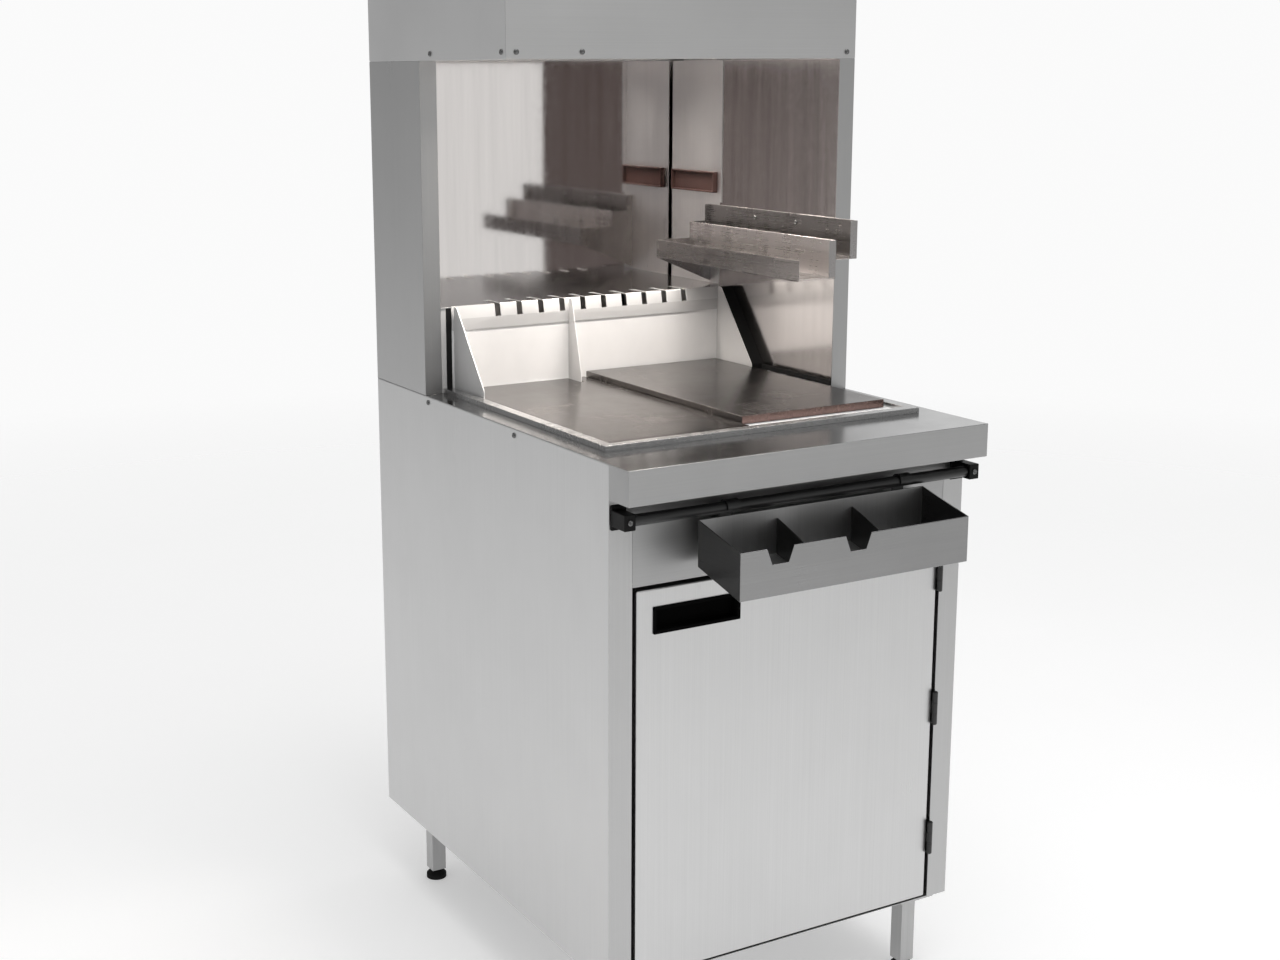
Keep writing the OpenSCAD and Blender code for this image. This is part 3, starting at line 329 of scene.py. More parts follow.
def wool_finish(name):
    material, tree, shader = new_finish(name)
    fibres = noise(tree, object_pattern(tree, (40.0, 260.0, 260.0)), 1.0, 6.0, 0.7)
    set_tone(tree, shader, fibres, (0.38, 0.31, 0.15), (0.62, 0.54, 0.32))
    set_roughness(tree, shader, fibres, 0.8, 1.0)
    relief(tree, shader, fibres, 0.7, 0.002)
    return material


def quartz_finish(name, tone):
    """Hot clear tube, frosted in patches, with a faint glow."""
    material, tree, shader = new_finish(name)
    haze = noise(tree, object_pattern(tree, (14.0, 60.0, 60.0)), 1.0, 3.0)
    set_tone(tree, shader, haze, (0.93, 0.92, 0.90), (1.0, 0.99, 0.97))
    set_roughness(tree, shader, haze, 0.03, 0.16)
    shader.inputs["Transmission Weight"].default_value = 0.9
    shader.inputs["IOR"].default_value = 1.46
    shader.inputs["Emission Color"].default_value = (*tone, 1.0)
    shader.inputs["Emission Strength"].default_value = 1.0
    return material


def filament_finish(name, tone):
    """Glowing wire, brightest where it runs hottest."""
    material, tree, shader = new_finish(name)
    heat = noise(tree, object_pattern(tree, (25.0, 1.0, 1.0)), 1.0, 2.0)
    tree.links.new(tones(tree, heat, shade(tone, 0.7), tone), shader.inputs["Emission Color"])
    shader.inputs["Emission Strength"].default_value = 10.0
    return material


# Colour, share of it, grain, roughness, depth of the grain and clouding
BRUSHED = {
    "satin_upright": ("steel", 1.0, "Z", 0.32, 0.10, 0.06),
    # Shaded and lit copies of the satin sheet for the uprights and stiles: painted shade and painted
    # light
    "satin_shaded": ("steel", 0.8, "Z", 0.32, 0.10, 0.06),
    "jamb_sheet": ("steel", 1.35, "Z", 0.30, 0.10, 0.06),
    "satin_flange": ("level", 1.0, "Z", 0.36, 0.10, 0.06),
    "satin_level": ("level", 1.0, "X", 0.40, 0.10, 0.06),
    # Lit copies of the cross-grained sheet, lighter still for the hood's sides: painted light
    "hood_sheet": ("level", 1.3, "X", 0.40, 0.10, 0.06),
    "hood_side": ("level", 1.65, "X", 0.40, 0.10, 0.06),
    "top_sheet": ("steel", 0.55, "X", 0.17, 0.06, 0.06),
    "inner_sheet": ("dull", 1.0, "Z", 0.40, 0.08, 0.10),
    "bin_sheet": ("dull", 0.66, "X", 0.22, 0.06, 0.10),
    # Much darker copy of the bin sheet: painted shade on the bin's end faces and the dividers
    "bin_end": ("dull", 0.20, "Y", 0.30, 0.06, 0.10),
    "rack_sheet": ("polished", 0.45, "Y", 0.26, 0.05, 0.06),
    # Lit copy of the rack sheet: painted highlight on the left of the high row's walls
    "rack_bright": ("polished", 1.0, "Y", 0.26, 0.05, 0.06),
    "rim_sheet": ("pale", 0.6, "X", 0.26, 0.06, 0.05),
}
# Colour, share of it, roughness and unevenness
POLISHED = {
    "mirror_sheet": ("polished", 1.0, 0.05, 0.03),
    "screen_sheet": ("polished", 1.0, 0.13, 0.03),
    "deck_sheet": ("polished", 0.47, 0.12, 0.03),
    # Painted shade for the plates' front faces
    "browned_edge": ("browned", 1.0, 0.25, 0.0),
    "dark_steel": ("dark", 1.0, 0.25, 0.0),
    "bright_wire": ("polished", 1.0, 0.14, 0.0),
}
# A darker copy of the well sheet gives painted shade on the cheeks' and divider's sides and the deck's
# front
# Colour and share of it
MATT = {"cheek_sheet": ("pale", 0.62), "tooth_sheet": ("pale", 0.75), "well_sheet": ("pale", 1.0)}
# Colour, share of it, roughness, fineness and depth of the grain, and gloss
MOULDED = {
    "black_moulding": ("black", 1.0, 0.42, 2600.0, 0.18, 0.12),
    "pull_moulding": ("black", 0.6, 0.8, 2600.0, 0.18, 0.0),
    "black_rubber": ("black", 1.6, 0.72, 1400.0, 0.3, 0.12),
    "brown_moulding": ("brown", 1.0, 0.38, 2600.0, 0.18, 0.12),
}
TABLES = (
    (brushed_finish, BRUSHED), (polished_finish, POLISHED), (matt_finish, MATT),
    (moulded_finish, MOULDED))
# Finishes that need only a colour, and those that need none
TINTED = {
    "black_coat": (coated_finish, "black"), "quartz": (quartz_finish, "glow"),
    "filament": (filament_finish, "glow")}
PLAIN = {
    "glazed_ceramic": ceramic_finish, "red_silicone": heating_mat_finish, "mineral_wool": wool_finish}
FINISHES = {}


def make_finish(key):
    tint = colours()
    if key == "worn_plate":
        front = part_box("left_plate")[0].y
        shade_tone = shade(tint.browned, PLATE_SHADE_TONE)
        return worn_plate_and_shade_finish(key, tint.plate, shade_tone, front, sizes().plate_shade_depth)
    if key in PLAIN:
        return PLAIN[key](key)
    if key in TINTED:
        make, tone = TINTED[key]
        return make(key, getattr(tint, tone))
    for make, table in TABLES:
        if key in table:
            tone, share, *values = table[key]
            return make(key, shade(getattr(tint, tone), share), *values)
    raise KeyError(key)


def finish(key):
    """The named finish, made once and shared."""
    if key not in FINISHES:
        FINISHES[key] = make_finish(key)
    return FINISHES[key]


# Shapes


# Distances within which corners become one, in CAD meshes and at the seam of a turned shape
WELD_GAP, SEAM_GAP = 2e-6, 1e-6
FLAT_ANGLE = math.radians(1.0)
# Least angles, in radians, of a fold and of a cut edge that are rounded
FOLD_ANGLE, CUT_ANGLE = 0.5, 1.0
FOLD_SEGMENTS, CUT_SEGMENTS = 3, 2
# A fold is rounded where both its faces run back more than this many radii
FOLD_REACH = 2.4
# Cosine above which a face counts as facing along an axis
FACING = 0.7
# The same for the deck's flat top, the flat parts of its front and the plates' front edges; the last two
# get painted shade
DECK_TOP, DECK_FRONT, PLATE_FRONT = 0.9, 0.995, 0.5


def dress(node, key):
    """Gives a CAD node that keeps its own shape its finish."""
    mesh = frame["nodes"][node].data
    mesh.materials.clear()
    mesh.materials.append(finish(key))


def merged_copy(node, quads):
    """The node's mesh with flat faces merged, only into quads where a face runs round an opening."""
    shape = bmesh.new()
    shape.from_mesh(frame["nodes"][node].data)
    bmesh.ops.remove_doubles(shape, verts=shape.verts, dist=WELD_GAP)
    if quads:
        bmesh.ops.join_triangles(
            shape, faces=shape.faces, angle_face_threshold=FLAT_ANGLE, angle_shape_threshold=math.pi)
    else:
        bmesh.ops.dissolve_limit(shape, angle_limit=FLAT_ANGLE, verts=shape.verts, edges=shape.edges)
    return shape


def reach_from(edge, face):
    """How far a face runs back from one of its edges."""
    start = edge.verts[0].co
    along = (edge.verts[1].co - start).normalized()
    return max((v.co - start - along * (v.co - start).dot(along)).length for v in face.verts)


def sharp_edges(shape, angle):
    return [e for e in shape.edges if len(e.link_faces) == 2 and e.calc_face_angle(0.0) > angle]


def round_edges(shape, edges, radius, segments):
    if edges:
        bmesh.ops.bevel(
            shape, geom=edges, offset=radius, offset_type="OFFSET", affect="EDGES", segments=segments,
            profile=0.5, material=-1, clamp_overlap=True, loop_slide=True)


def add_piece(name, shape, key, body):
    mesh = bpy.data.meshes.new(name)
    shape.to_mesh(mesh)
    shape.free()
    mesh.materials.append(finish(key))
    piece = bpy.data.objects.new(name, mesh)
    bpy.context.scene.collection.objects.link(piece)
    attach(piece, body)
    return piece


def even_normals(piece):
    """Smooth shading that keeps the large faces flat."""
    for face in piece.data.polygons:
        face.use_smooth = True
    weighted = piece.modifiers.new("even_normals", "WEIGHTED_NORMAL")
    weighted.weight = 100
    weighted.keep_sharp = True


def soften(node, key, fold, rim=None, quads=False):
    """Stands in for a CAD node with the same shape, its folds and cut edges rounded."""
    rim = sizes().rim_radius if rim is None else rim
    shape = merged_copy(node, quads)
    least = FOLD_REACH * fold
    folds = [
        e for e in sharp_edges(shape, FOLD_ANGLE)
        if e.is_convex and min(reach_from(e, f) for f in e.link_faces) > least]
    round_edges(shape, folds, fold, FOLD_SEGMENTS)
    round_edges(shape, sharp_edges(shape, CUT_ANGLE), rim, CUT_SEGMENTS)
    piece = add_piece(node + "_form", shape, key, BODY_OF[node])
    even_normals(piece)
    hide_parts(node)
    return piece


def refinish(piece, key, chosen):
    """Gives the faces that a test picks out a second finish."""
    piece.data.materials.append(finish(key))
    for face in piece.data.polygons:
        if chosen(face):
            face.material_index = len(piece.data.materials) - 1


def islands(node):
    """The box of each separate solid in a CAD node."""
    shape = bmesh.new()
    shape.from_mesh(frame["nodes"][node].data)
    bmesh.ops.remove_doubles(shape, verts=shape.verts, dist=WELD_GAP)
    waiting, boxes = set(shape.verts), []
    while waiting:
        group, edge = set(), [waiting.pop()]
        while edge:
            vert = edge.pop()
            group.add(vert)
            for other in (link.other_vert(vert) for link in vert.link_edges):
                if other in waiting:
                    waiting.remove(other)
                    edge.append(other)
        low = Vector(map(min, zip(*(v.co for v in group))))
        high = Vector(map(max, zip(*(v.co for v in group))))
        boxes.append((low, high))
    shape.free()
    return boxes


def turned_profile(shape, points, steps=24):
    """An open profile of radius and height pairs, turned round the local Z axis."""
    verts = [shape.verts.new((radius, 0.0, height)) for radius, height in points]
    edges = [shape.edges.new(pair) for pair in zip(verts, verts[1:])]
    bmesh.ops.spin(
        shape, geom=verts + edges, cent=(0, 0, 0), axis=(0, 0, 1), angle=math.tau, steps=steps,
        use_merge=True)


def close_up(shape):
    bmesh.ops.remove_doubles(shape, verts=shape.verts, dist=SEAM_GAP)
    bmesh.ops.holes_fill(shape, edges=[e for e in shape.edges if e.is_boundary], sides=0)
    bmesh.ops.recalc_face_normals(shape, faces=shape.faces)


def join(target, shape):
    """Adds one shape to another and frees it."""
    mesh = bpy.data.meshes.new("joined")
    shape.to_mesh(mesh)
    shape.free()
    target.from_mesh(mesh)
    bpy.data.meshes.remove(mesh)


# Operators, one for each group of pieces


# Lamp light: distance from the tray's middle, drop below the tray, size, power and spread in degrees
LAMP_STEP = 0.105
LAMP_DROP = 0.012
LAMP_LENGTH, LAMP_WIDTH = 0.42, 0.05
LAMP_POWER = 3.1
LAMP_SPREAD = 125.0
SOFTBOX_PLACE, SOFTBOX_TARGET = (0.3, -0.9, 3.6), (0.0, 0.0, 0.6)
SOFTBOX_SIDE, SOFTBOX_POWER = 3.2, 60.0
WHITE = (1.0, 1.0, 1.0)
# Floor: radius, share of it where it starts to thin out, and its own glow
FLOOR_RADIUS = 5.0
FLOOR_FADE = 0.18
FLOOR_GLOW = 0.3
# Camera: place, lens, shift across and up, and its yaw, pitch and roll in degrees
CAMERA_PLACE = (-1.4165, -2.2000, 1.3675)
CAMERA_LENS, CAMERA_SENSOR = 48.976, 36.0
CAMERA_SHIFT = (0.0664, -0.0391)
CAMERA_ANGLES = (28.868, 11.681, -0.339)
# Brightness of the room by height, from straight down (0) over the horizon (0.5) to straight up (1)
ROOM_TONES = (
    (0.0, 0.8), (0.38, 0.82), (0.47, 0.46), (0.52, 0.44), (0.6, 0.36), (0.75, 0.32), (0.95, 0.7))
# Patches of the room: where each lies, its tone, and the cosines at its rim and at its full strength
ROOM_PATCHES = (
    ((0.45, -0.885, -0.12), (0.84, 0.84, 0.83), 0.955, 0.985),
    ((0.73, 0.65, 0.2), (1.1, 1.1, 1.1), 0.972, 0.992),
    ((-0.49, -0.871, -0.03), (0.12, 0.095, 0.09), 0.96, 0.9985),
)
# What the camera sees behind the object
BACKDROP = (0.96, 0.96, 0.96, 1.0)


class STATION_OT_stage(bpy.types.Operator):
    """Pale floor, soft studio light and the camera"""
    bl_idname = "station.stage"
    bl_label = "Set the stage"

    def execute(self, context):
        self.lay_floor(context)
        self.light_room(context)
        self.add_light(
            context, "top_softbox", SOFTBOX_PLACE, SOFTBOX_TARGET, SOFTBOX_SIDE, SOFTBOX_SIDE,
            SOFTBOX_POWER, WHITE)
        low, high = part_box("lamp_tray")
        middle = (low + high) / 2
        for step in (-LAMP_STEP, LAMP_STEP):
            place, target = (0.0, middle.y + step, low.z - LAMP_DROP), (0.0, middle.y + step, 0.0)
            self.add_light(
                context, "lamp_light", place, target, LAMP_LENGTH, LAMP_WIDTH, LAMP_POWER,
                colours().glow, LAMP_SPREAD)
        self.set_camera(context)
        context.scene.view_settings.view_transform = "Standard"
        return {"FINISHED"}

    def lay_floor(self, context):
        """A round floor that thins out into the white room."""
        tint = colours()
        shape = bmesh.new()
        bmesh.ops.create_circle(shape, cap_ends=True, segments=96, radius=FLOOR_RADIUS)
        mesh = bpy.data.meshes.new("studio_floor")
        shape.to_mesh(mesh)
        shape.free()
        material, tree, shader = new_finish("studio_floor")
        place = object_pattern(tree)
        clouds = noise(tree, place, 1.5, 2.0)
        set_tone(tree, shader, clouds, shade(tint.floor, 0.985), tint.floor)
        reach = tree.nodes.new("ShaderNodeVectorMath")
        reach.operation = "LENGTH"
        tree.links.new(place, reach.inputs[0])
        fade = spread(tree, reach.outputs["Value"], 1.0, 0.0, FLOOR_RADIUS * FLOOR_FADE, FLOOR_RADIUS)
        tree.links.new(fade, shader.inputs["Alpha"])
        shader.inputs["Roughness"].default_value = 0.8
        shader.inputs["Specular IOR Level"].default_value = 0.1
        shader.inputs["Emission Color"].default_value = (*WHITE, 1.0)
        shader.inputs["Emission Strength"].default_value = FLOOR_GLOW
        mesh.materials.append(material)
        floor = bpy.data.objects.new("studio_floor", mesh)
        context.scene.collection.objects.link(floor)

    def set_camera(self, context):
        camera = bpy.data.cameras.new("photo_camera")
        camera.lens, camera.sensor_width = CAMERA_LENS, CAMERA_SENSOR
        camera.shift_x, camera.shift_y = CAMERA_SHIFT
        camera.clip_start, camera.clip_end = 0.05, 100.0
        view = bpy.data.objects.new("photo_camera", camera)
        yaw, pitch, roll = map(math.radians, CAMERA_ANGLES)
        level = math.cos(pitch)
        ahead = Vector((math.sin(yaw) * level, math.cos(yaw) * level, -math.sin(pitch)))
        right = Vector((math.cos(yaw), -math.sin(yaw), 0.0))
        up = right.cross(ahead)
        across = right * math.cos(roll) + up * math.sin(roll)
        upward = up * math.cos(roll) - right * math.sin(roll)
        turn = Matrix((across, upward, -ahead)).transposed().to_4x4()
        view.matrix_world = Matrix.Translation(CAMERA_PLACE) @ turn
        context.scene.collection.objects.link(view)
        context.scene.camera = view

    def light_room(self, context):
        """A grey room over a white ground, with light patches to the right and a dark one in front."""
        world = bpy.data.worlds.new("studio_room")
        world.use_nodes = True
        context.scene.world = world
        tree = world.node_tree
        tree.nodes.clear()
        towards = tree.nodes.new("ShaderNodeTexCoord").outputs["Generated"]
        split = tree.nodes.new("ShaderNodeSeparateXYZ")
        tree.links.new(towards, split.inputs["Vector"])
        height = tree.nodes.new("ShaderNodeValToRGB")
        ramp = height.color_ramp
        for place, tone in ROOM_TONES:
            stop = ramp.elements.new(place)
            stop.color = (tone, tone, tone, 1.0)
        ramp.elements.remove(ramp.elements[0])
        ramp.elements.remove(ramp.elements[-1])
        tree.links.new(spread(tree, split.outputs["Z"], 0.0, 1.0, -1.0, 1.0), height.inputs["Fac"])
        room = height.outputs["Color"]
        for aim, tone, edge, full in ROOM_PATCHES:
            lobe = tree.nodes.new("ShaderNodeVectorMath")
            lobe.operation = "DOT_PRODUCT"
            lobe.inputs[1].default_value = aim
            tree.links.new(towards, lobe.inputs[0])
            mix = tree.nodes.new("ShaderNodeMix")
            mix.data_type = "RGBA"
            share = spread(tree, lobe.outputs["Value"], 0.0, 1.0, edge, full)
            tree.links.new(share, mix.inputs["Factor"])
            tree.links.new(room, mix.inputs["A"])
            mix.inputs["B"].default_value = (*tone, 1.0)
            room = mix.outputs["Result"]
        lit = tree.nodes.new("ShaderNodeBackground")
        tree.links.new(room, lit.inputs["Color"])
        seen = tree.nodes.new("ShaderNodeBackground")
        seen.inputs["Color"].default_value = BACKDROP
        path = tree.nodes.new("ShaderNodeLightPath")
        mix = tree.nodes.new("ShaderNodeMixShader")
        tree.links.new(path.outputs["Is Camera Ray"], mix.inputs["Fac"])
        tree.links.new(lit.outputs["Background"], mix.inputs[1])
        tree.links.new(seen.outputs["Background"], mix.inputs[2])
        out = tree.nodes.new("ShaderNodeOutputWorld")
        tree.links.new(mix.outputs["Shader"], out.inputs["Surface"])

    def add_light(self, context, name, place, target, wide, high, power, tone, angle=180.0):
        light = bpy.data.lights.new(name, "AREA")
        light.spread = math.radians(angle)
        light.shape = "RECTANGLE"
        light.size, light.size_y = wide, high
        light.energy = power
        light.color = tone
        lamp = bpy.data.objects.new(name, light)
        aim = (Vector(target) - Vector(place)).normalized()
        lamp.matrix_world = Matrix.Translation(place) @ aim.to_track_quat("-Z", "Y").to_matrix().to_4x4()
        lamp.visible_camera = False
        context.scene.collection.objects.link(lamp)


class STATION_OT_cupboard(bpy.types.Operator):
    """Cupboard sheets, worktop and legs"""
    bl_idname = "station.cupboard"
    bl_label = "Dress the cupboard"

    def execute(self, context):
        size = sizes()
        worktop = soften("worktop", "satin_level", size.fold_radius)
        refinish(worktop, "top_sheet", lambda face: face.normal.z > FACING)
        soften("side_panels", "satin_upright", size.panel_fold)
        # The stiles get the shaded copy of the side panels' sheet: painted shade
        soften("stiles", "satin_shaded", size.panel_fold)
        soften("fascia_panel", "satin_level", size.panel_fold)
        for node in ("cabinet_back", "cabinet_floor"):
            soften(node, "inner_sheet", size.panel_fold)
        soften("legs", "inner_sheet", size.panel_fold)
        soften("leg_plugs", "black_moulding", size.moulding_radius)
        return {"FINISHED"}


class STATION_OT_feet(bpy.types.Operator):
    """Levelling feet"""
    bl_idname = "station.feet"
    bl_label = "Dress the feet"

    def execute(self, context):
        for node in ("foot_front_left", "foot_front_right", "foot_rear_left", "foot_rear_right"):
            soften(node, "black_rubber", sizes().moulding_radius)
        return {"FINISHED"}


class STATION_OT_door(bpy.types.Operator):
    """Door, recessed pull, hinges and catch"""
    bl_idname = "station.door"
    bl_label = "Dress the door"

    def execute(self, context):
        size = sizes()
        soften("door_skin", "satin_upright", size.panel_fold, quads=True)
        soften("door_liner", "inner_sheet", size.panel_fold)
        soften("door_pull", "pull_moulding", size.moulding_radius)
        for node in ("hinge_frame_leaves", "hinge_door_leaves", "hinge_pins"):
            soften(node, "black_coat", size.moulding_radius)
        soften("magnet_catch", "black_moulding", size.moulding_radius)
        return {"FINISHED"}


class STATION_OT_well(bpy.types.Operator):
    """Heated well, carton deck and lift-out plates"""
    bl_idname = "station.well"
    bl_label = "Dress the well"

    def execute(self, context):
        size = sizes()
        for node in ("pan_floor", "pan_back_wall"):
            soften(node, "well_sheet", size.panel_fold)
        for node in ("cheeks", "middle_divider"):
            sheet = soften(node, "well_sheet", size.panel_fold)
            # Their side faces get the darker copy: painted shade
            refinish(sheet, "cheek_sheet", lambda face: abs(face.normal.x) > FACING)
        deck = soften("carton_deck", "tooth_sheet", size.panel_fold, quads=True)
        refinish(deck, "deck_sheet", lambda face: face.normal.z > DECK_TOP)
        # The flat parts of the deck's front get the darker copy: painted shade
        refinish(deck, "cheek_sheet", lambda face: face.normal.y < -DECK_FRONT)
        soften("pan_rim", "rim_sheet", size.rim_radius, quads=True)
        # Black strips stand in the gaps at the well's sides, where these lie in shade: painted shade
        soften("gap_strips", "black_rubber", size.moulding_radius)
        for node in ("left_plate", "right_tray"):
            plate = soften(node, "worn_plate", size.panel_fold)
            # The plates' front faces get painted shade
            refinish(plate, "browned_edge", lambda face: face.normal.y < -PLATE_FRONT)
        dress("heating_mat", "red_silicone")
        dress("insulation_slab", "mineral_wool")
        soften("under_tray", "inner_sheet", size.panel_fold)
        return {"FINISHED"}


class STATION_OT_gantry(bpy.types.Operator):
    """Uprights, mirror-bright screens and the hood"""
    bl_idname = "station.gantry"
    bl_label = "Dress the gantry"

    def execute(self, context):
        size = sizes()
        # The uprights get the shaded copy of the satin sheet and their inward faces a lit copy: painted
        # shade and painted light
        uprights = soften("uprights", "satin_shaded", size.panel_fold)
        refinish(
            uprights, "jamb_sheet",
            lambda face: face.normal.x * face.center.x < 0.0 and abs(face.normal.x) > FACING)
        refinish(uprights, "satin_flange", lambda face: face.normal.y < -FACING)
        screen = soften("right_screen", "screen_sheet", size.panel_fold)
        refinish(screen, "satin_flange", lambda face: face.normal.x > -FACING)
        panel = soften("back_panel", "mirror_sheet", size.panel_fold)
        refinish(panel, "satin_level", lambda face: face.normal.y > -FACING)
        # The hood gets lit copies of the apron's sheet, its sides lighter than its front: painted light
        for node in ("hood_front", "hood_cover"):
            soften(node, "hood_sheet", size.fold_radius)
        soften("hood_sides", "hood_side", size.fold_radius)
        soften("hood_straps", "inner_sheet", size.panel_fold)
        soften("lamp_tray", "well_sheet", size.panel_fold)
        return {"FINISHED"}


# Pinched end of a tube: shares of its radius and distances from its end
TUBE_END = ((0.55, 0.0), (0.55, 0.012), (0.9, 0.018), (1.0, 0.026))
# Filament: shares of the tube's length and width, steps in a turn and corners of the wire
FILAMENT_RUN, FILAMENT_REACH = 0.86, 0.16
FILAMENT_STEPS, FILAMENT_CORNERS = 10, 6


class STATION_OT_lamps(bpy.types.Operator):
    """Quartz lamps with their filaments, holders, reflectors and guards"""
    bl_idname = "station.lamps"
    bl_label = "Dress the lamps"

    def execute(self, context):
        size = sizes()
        soften("lamp_reflectors", "bright_wire", size.rim_radius, quads=True)
        soften("lamp_holders", "glazed_ceramic", size.moulding_radius)
        dress("lamp_guards", "bright_wire")
        glass, coils = bmesh.new(), bmesh.new()
        for low, high in islands("heat_lamps"):
            self.tube(glass, low, high)
            self.coil(coils, low, high)
        body, slot = BODY_OF["heat_lamps"], SLOT_OF["heat_lamps"]
        tubes = add_piece("quartz_tubes", glass, "quartz", body)
        even_normals(tubes)
        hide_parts("heat_lamps")
        filaments = add_piece("lamp_filaments", coils, "filament", body)
        even_normals(filaments)
        return {"FINISHED"}

    def tube(self, glass, low, high):
        """A tube with pinched ends, turned round its own axis."""
        radius, half = (high.z - low.z) / 2, (high.x - low.x) / 2
        shape = bmesh.new()
        end = [(radius * share, half - inset) for share, inset in TUBE_END]
        turned_profile(shape, [(wide, -far) for wide, far in end] + end[::-1])
        close_up(shape)
        self.lay_along_x(shape, (low + high) / 2)
        join(glass, shape)

    def coil(self, coils, low, high):
        """The filament: a small ring of wire carried round and along the lamp's axis."""
        size = sizes()
        run, around = (high.x - low.x) * FILAMENT_RUN, (high.z - low.z) * FILAMENT_REACH
        steps = size.filament_turns * FILAMENT_STEPS
        shape = bmesh.new()
        ring = bmesh.ops.create_circle(shape, segments=FILAMENT_CORNERS, radius=size.filament_wire)
        quarter = Matrix.Rotation(math.pi / 2, 3, "X")
        bmesh.ops.rotate(shape, verts=shape.verts, cent=(0, 0, 0), matrix=quarter)
        bmesh.ops.translate(shape, verts=shape.verts, vec=(around, 0, -run / 2))
        bmesh.ops.spin(
            shape, geom=ring["verts"] + list(shape.edges), cent=(0, 0, 0), axis=(0, 0, 1),
            dvec=(0, 0, run / steps), angle=math.tau * size.filament_turns, steps=steps, use_merge=False)
        close_up(shape)
        self.lay_along_x(shape, (low + high) / 2)
        join(coils, shape)

    def lay_along_x(self, shape, centre):
        quarter = Matrix.Rotation(math.pi / 2, 3, "Y")
        bmesh.ops.rotate(shape, verts=shape.verts, cent=(0, 0, 0), matrix=quarter)
        bmesh.ops.translate(shape, verts=shape.verts, vec=centre)


class STATION_OT_rack(bpy.types.Operator):
    """Carton rack and the scoop rest"""
    bl_idname = "station.rack"
    bl_label = "Dress the rack"

    def execute(self, context):
        size = sizes()
        soften("rack_low_row", "rack_sheet", size.panel_fold)
        row = soften("rack_high_row", "rack_sheet", size.panel_fold)
        middle = sum(v.co.x for v in row.data.vertices) / len(row.data.vertices)
        # The left-facing faces on the left of the high row get the lit copy: painted highlight
        refinish(row, "rack_bright", lambda face: face.normal.x < -FACING and face.center.x < middle)
        soften("rack_end_plates", "rack_sheet", size.panel_fold)
        soften("scoop_rest", "brown_moulding", size.moulding_radius)
        return {"FINISHED"}


class STATION_OT_bin(bpy.types.Operator):
    """Rail, brackets and the hanging bin"""
    bl_idname = "station.bin"
    bl_label = "Dress the rail and bin"

    def execute(self, context):
        size = sizes()
        soften("bin_rail", "black_coat", size.moulding_radius)
        soften("rail_brackets", "black_moulding", size.moulding_radius)
        soften("bin_hooks", "black_coat", size.moulding_radius)
        low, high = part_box("bin_box")
        middle = (low + high) / 2
        for node in ("bin_box", "bin_dividers"):
            sheet = soften(node, "bin_sheet", size.panel_fold)
            # The bin's end faces and the dividers' faces get the darker copy: painted shade
            refinish(sheet, "bin_end", lambda face: abs(face.normal.x) > FACING)
            # The floor and the inside of the rear wall get a rougher sheet whose lighter tone is painted
            # light
            refinish(
                sheet, "inner_sheet", lambda face: face.normal.z > FACING and face.center.z < middle.z)
            refinish(
                sheet, "inner_sheet", lambda face: face.normal.y < -FACING and face.center.y > middle.y)
        return {"FINISHED"}


class STATION_OT_controls(bpy.types.Operator):
    """Control box, knob, switch, conduit and gland"""
    bl_idname = "station.controls"
    bl_label = "Dress the controls"

    def execute(self, context):
        size = sizes()
        soften("control_box", "inner_sheet", size.panel_fold)
        soften("control_panel", "satin_level", size.panel_fold)
        for node in ("control_fittings", "cable_gland", "thermostat_knob", "switch_rocker"):
            soften(node, "black_moulding", size.rim_radius)
        dress("wiring_conduit", "inner_sheet")
        return {"FINISHED"}


# Half the outline of a screw's head: shares of its radius and of its thickness
HEAD_PROFILE = (
    (1.0, 0.0), (1.0, 0.35), (0.93, 0.7), (0.72, 0.93), (0.45, 1.0), (0.38, 0.55), (0.05, 0.5))
# How far inside the part's right edge a screw still counts as one on the right side panel
SIDE_BAND = 0.004


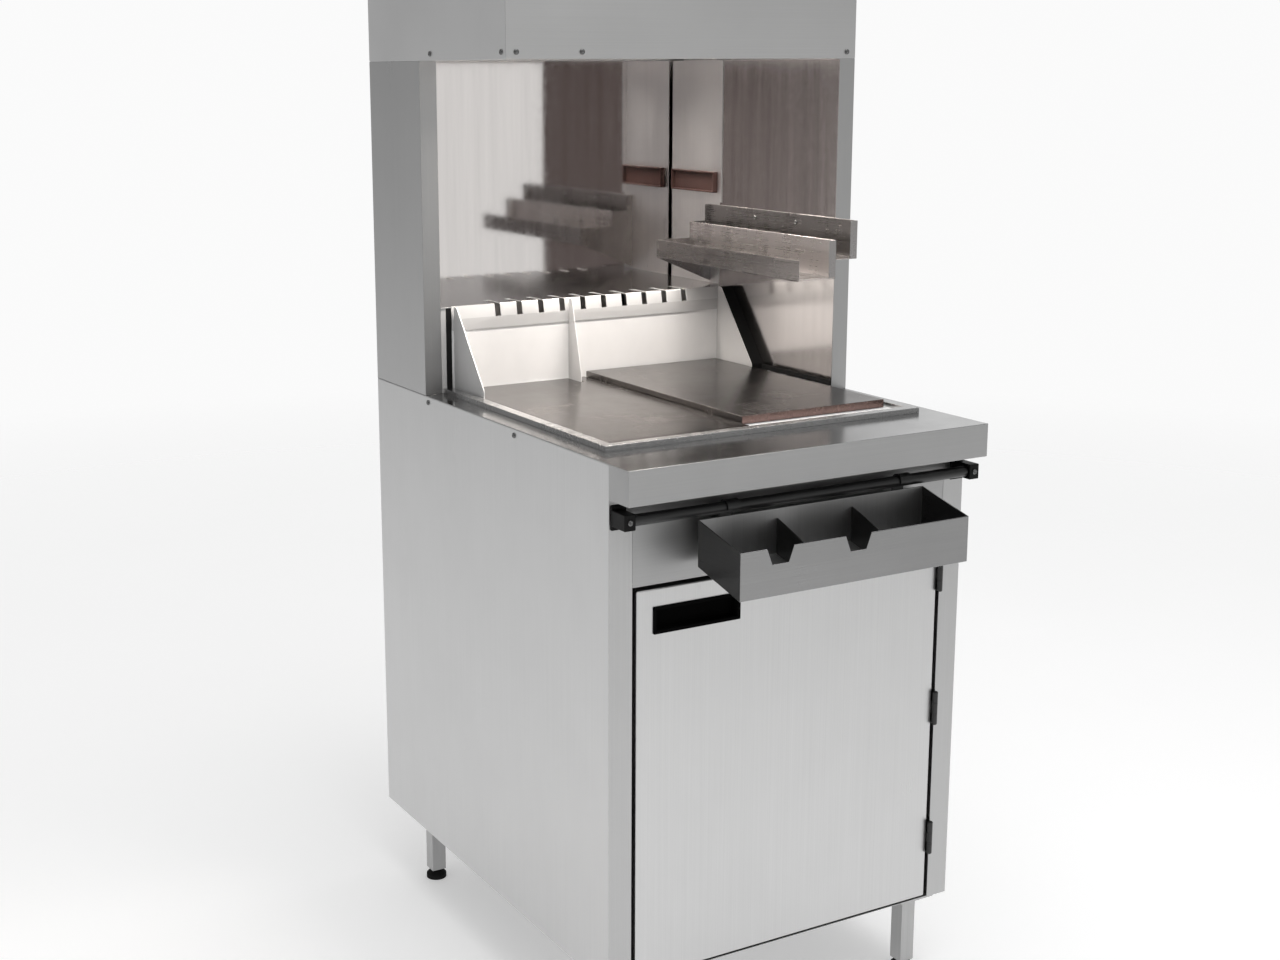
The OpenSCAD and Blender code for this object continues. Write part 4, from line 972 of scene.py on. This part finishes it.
class STATION_OT_fasteners(bpy.types.Operator):
    """Domed screw heads with a recess"""
    bl_idname = "station.fasteners"
    bl_label = "Make the screws"

    def execute(self, context):
        heads = bmesh.new()
        for low, high in islands("screws"):
            self.head(heads, low, high)
        piece = add_piece("screw_heads", heads, "dark_steel", BODY_OF["screws"])
        even_normals(piece)
        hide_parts("screws")
        return {"FINISHED"}

    def head(self, heads, low, high):
        spans = high - low
        axis = min(range(3), key=lambda i: spans[i])
        thick, radius = spans[axis], max(spans) / 2
        shape = bmesh.new()
        turned_profile(shape, [(radius * out, thick * up) for out, up in HEAD_PROFILE])
        close_up(shape)
        centre = (low + high) / 2
        outward = Vector((0, 0, 0))
        outward[axis] = self.side(axis, centre)
        bmesh.ops.rotate(
            shape, verts=shape.verts, cent=(0, 0, 0), matrix=outward.to_track_quat("Z", "Y").to_matrix())
        bmesh.ops.translate(shape, verts=shape.verts, vec=centre - outward * thick / 2)
        join(heads, shape)

    def side(self, axis, centre):
        """Screws on the right side panel face right; all others face left or front."""
        return 1.0 if axis == 0 and centre.x > CAD_HIGH.x - SIDE_BAND else -1.0


CLASSES = (
    StationSizes, StationColours, STATION_OT_stage, STATION_OT_cupboard, STATION_OT_feet,
    STATION_OT_door, STATION_OT_well, STATION_OT_gantry, STATION_OT_lamps, STATION_OT_rack,
    STATION_OT_bin, STATION_OT_controls, STATION_OT_fasteners)
STEPS = [kind.bl_idname for kind in CLASSES if issubclass(kind, bpy.types.Operator)]


class STATION_PT_panel(bpy.types.Panel):
    bl_idname = "STATION_PT_panel"
    bl_label = "Serving Station"
    bl_space_type = "VIEW_3D"
    bl_region_type = "UI"
    bl_category = "Station"

    def draw(self, context):
        for step in STEPS:
            self.layout.operator(step)
        for group in (context.scene.station_sizes, context.scene.station_colours):
            for name in group.__annotations__:
                self.layout.prop(group, name)


def register():
    for kind in (*CLASSES, STATION_PT_panel):
        bpy.utils.register_class(kind)
    bpy.types.Scene.station_sizes = PointerProperty(type=StationSizes)
    bpy.types.Scene.station_colours = PointerProperty(type=StationColours)


def unregister():
    del bpy.types.Scene.station_colours
    del bpy.types.Scene.station_sizes
    for kind in reversed((*CLASSES, STATION_PT_panel)):
        bpy.utils.unregister_class(kind)


def main():
    register()
    for step in STEPS:
        group, name = step.split(".")
        getattr(getattr(bpy.ops, group), name)()


if __name__ == "__main__":
    main()
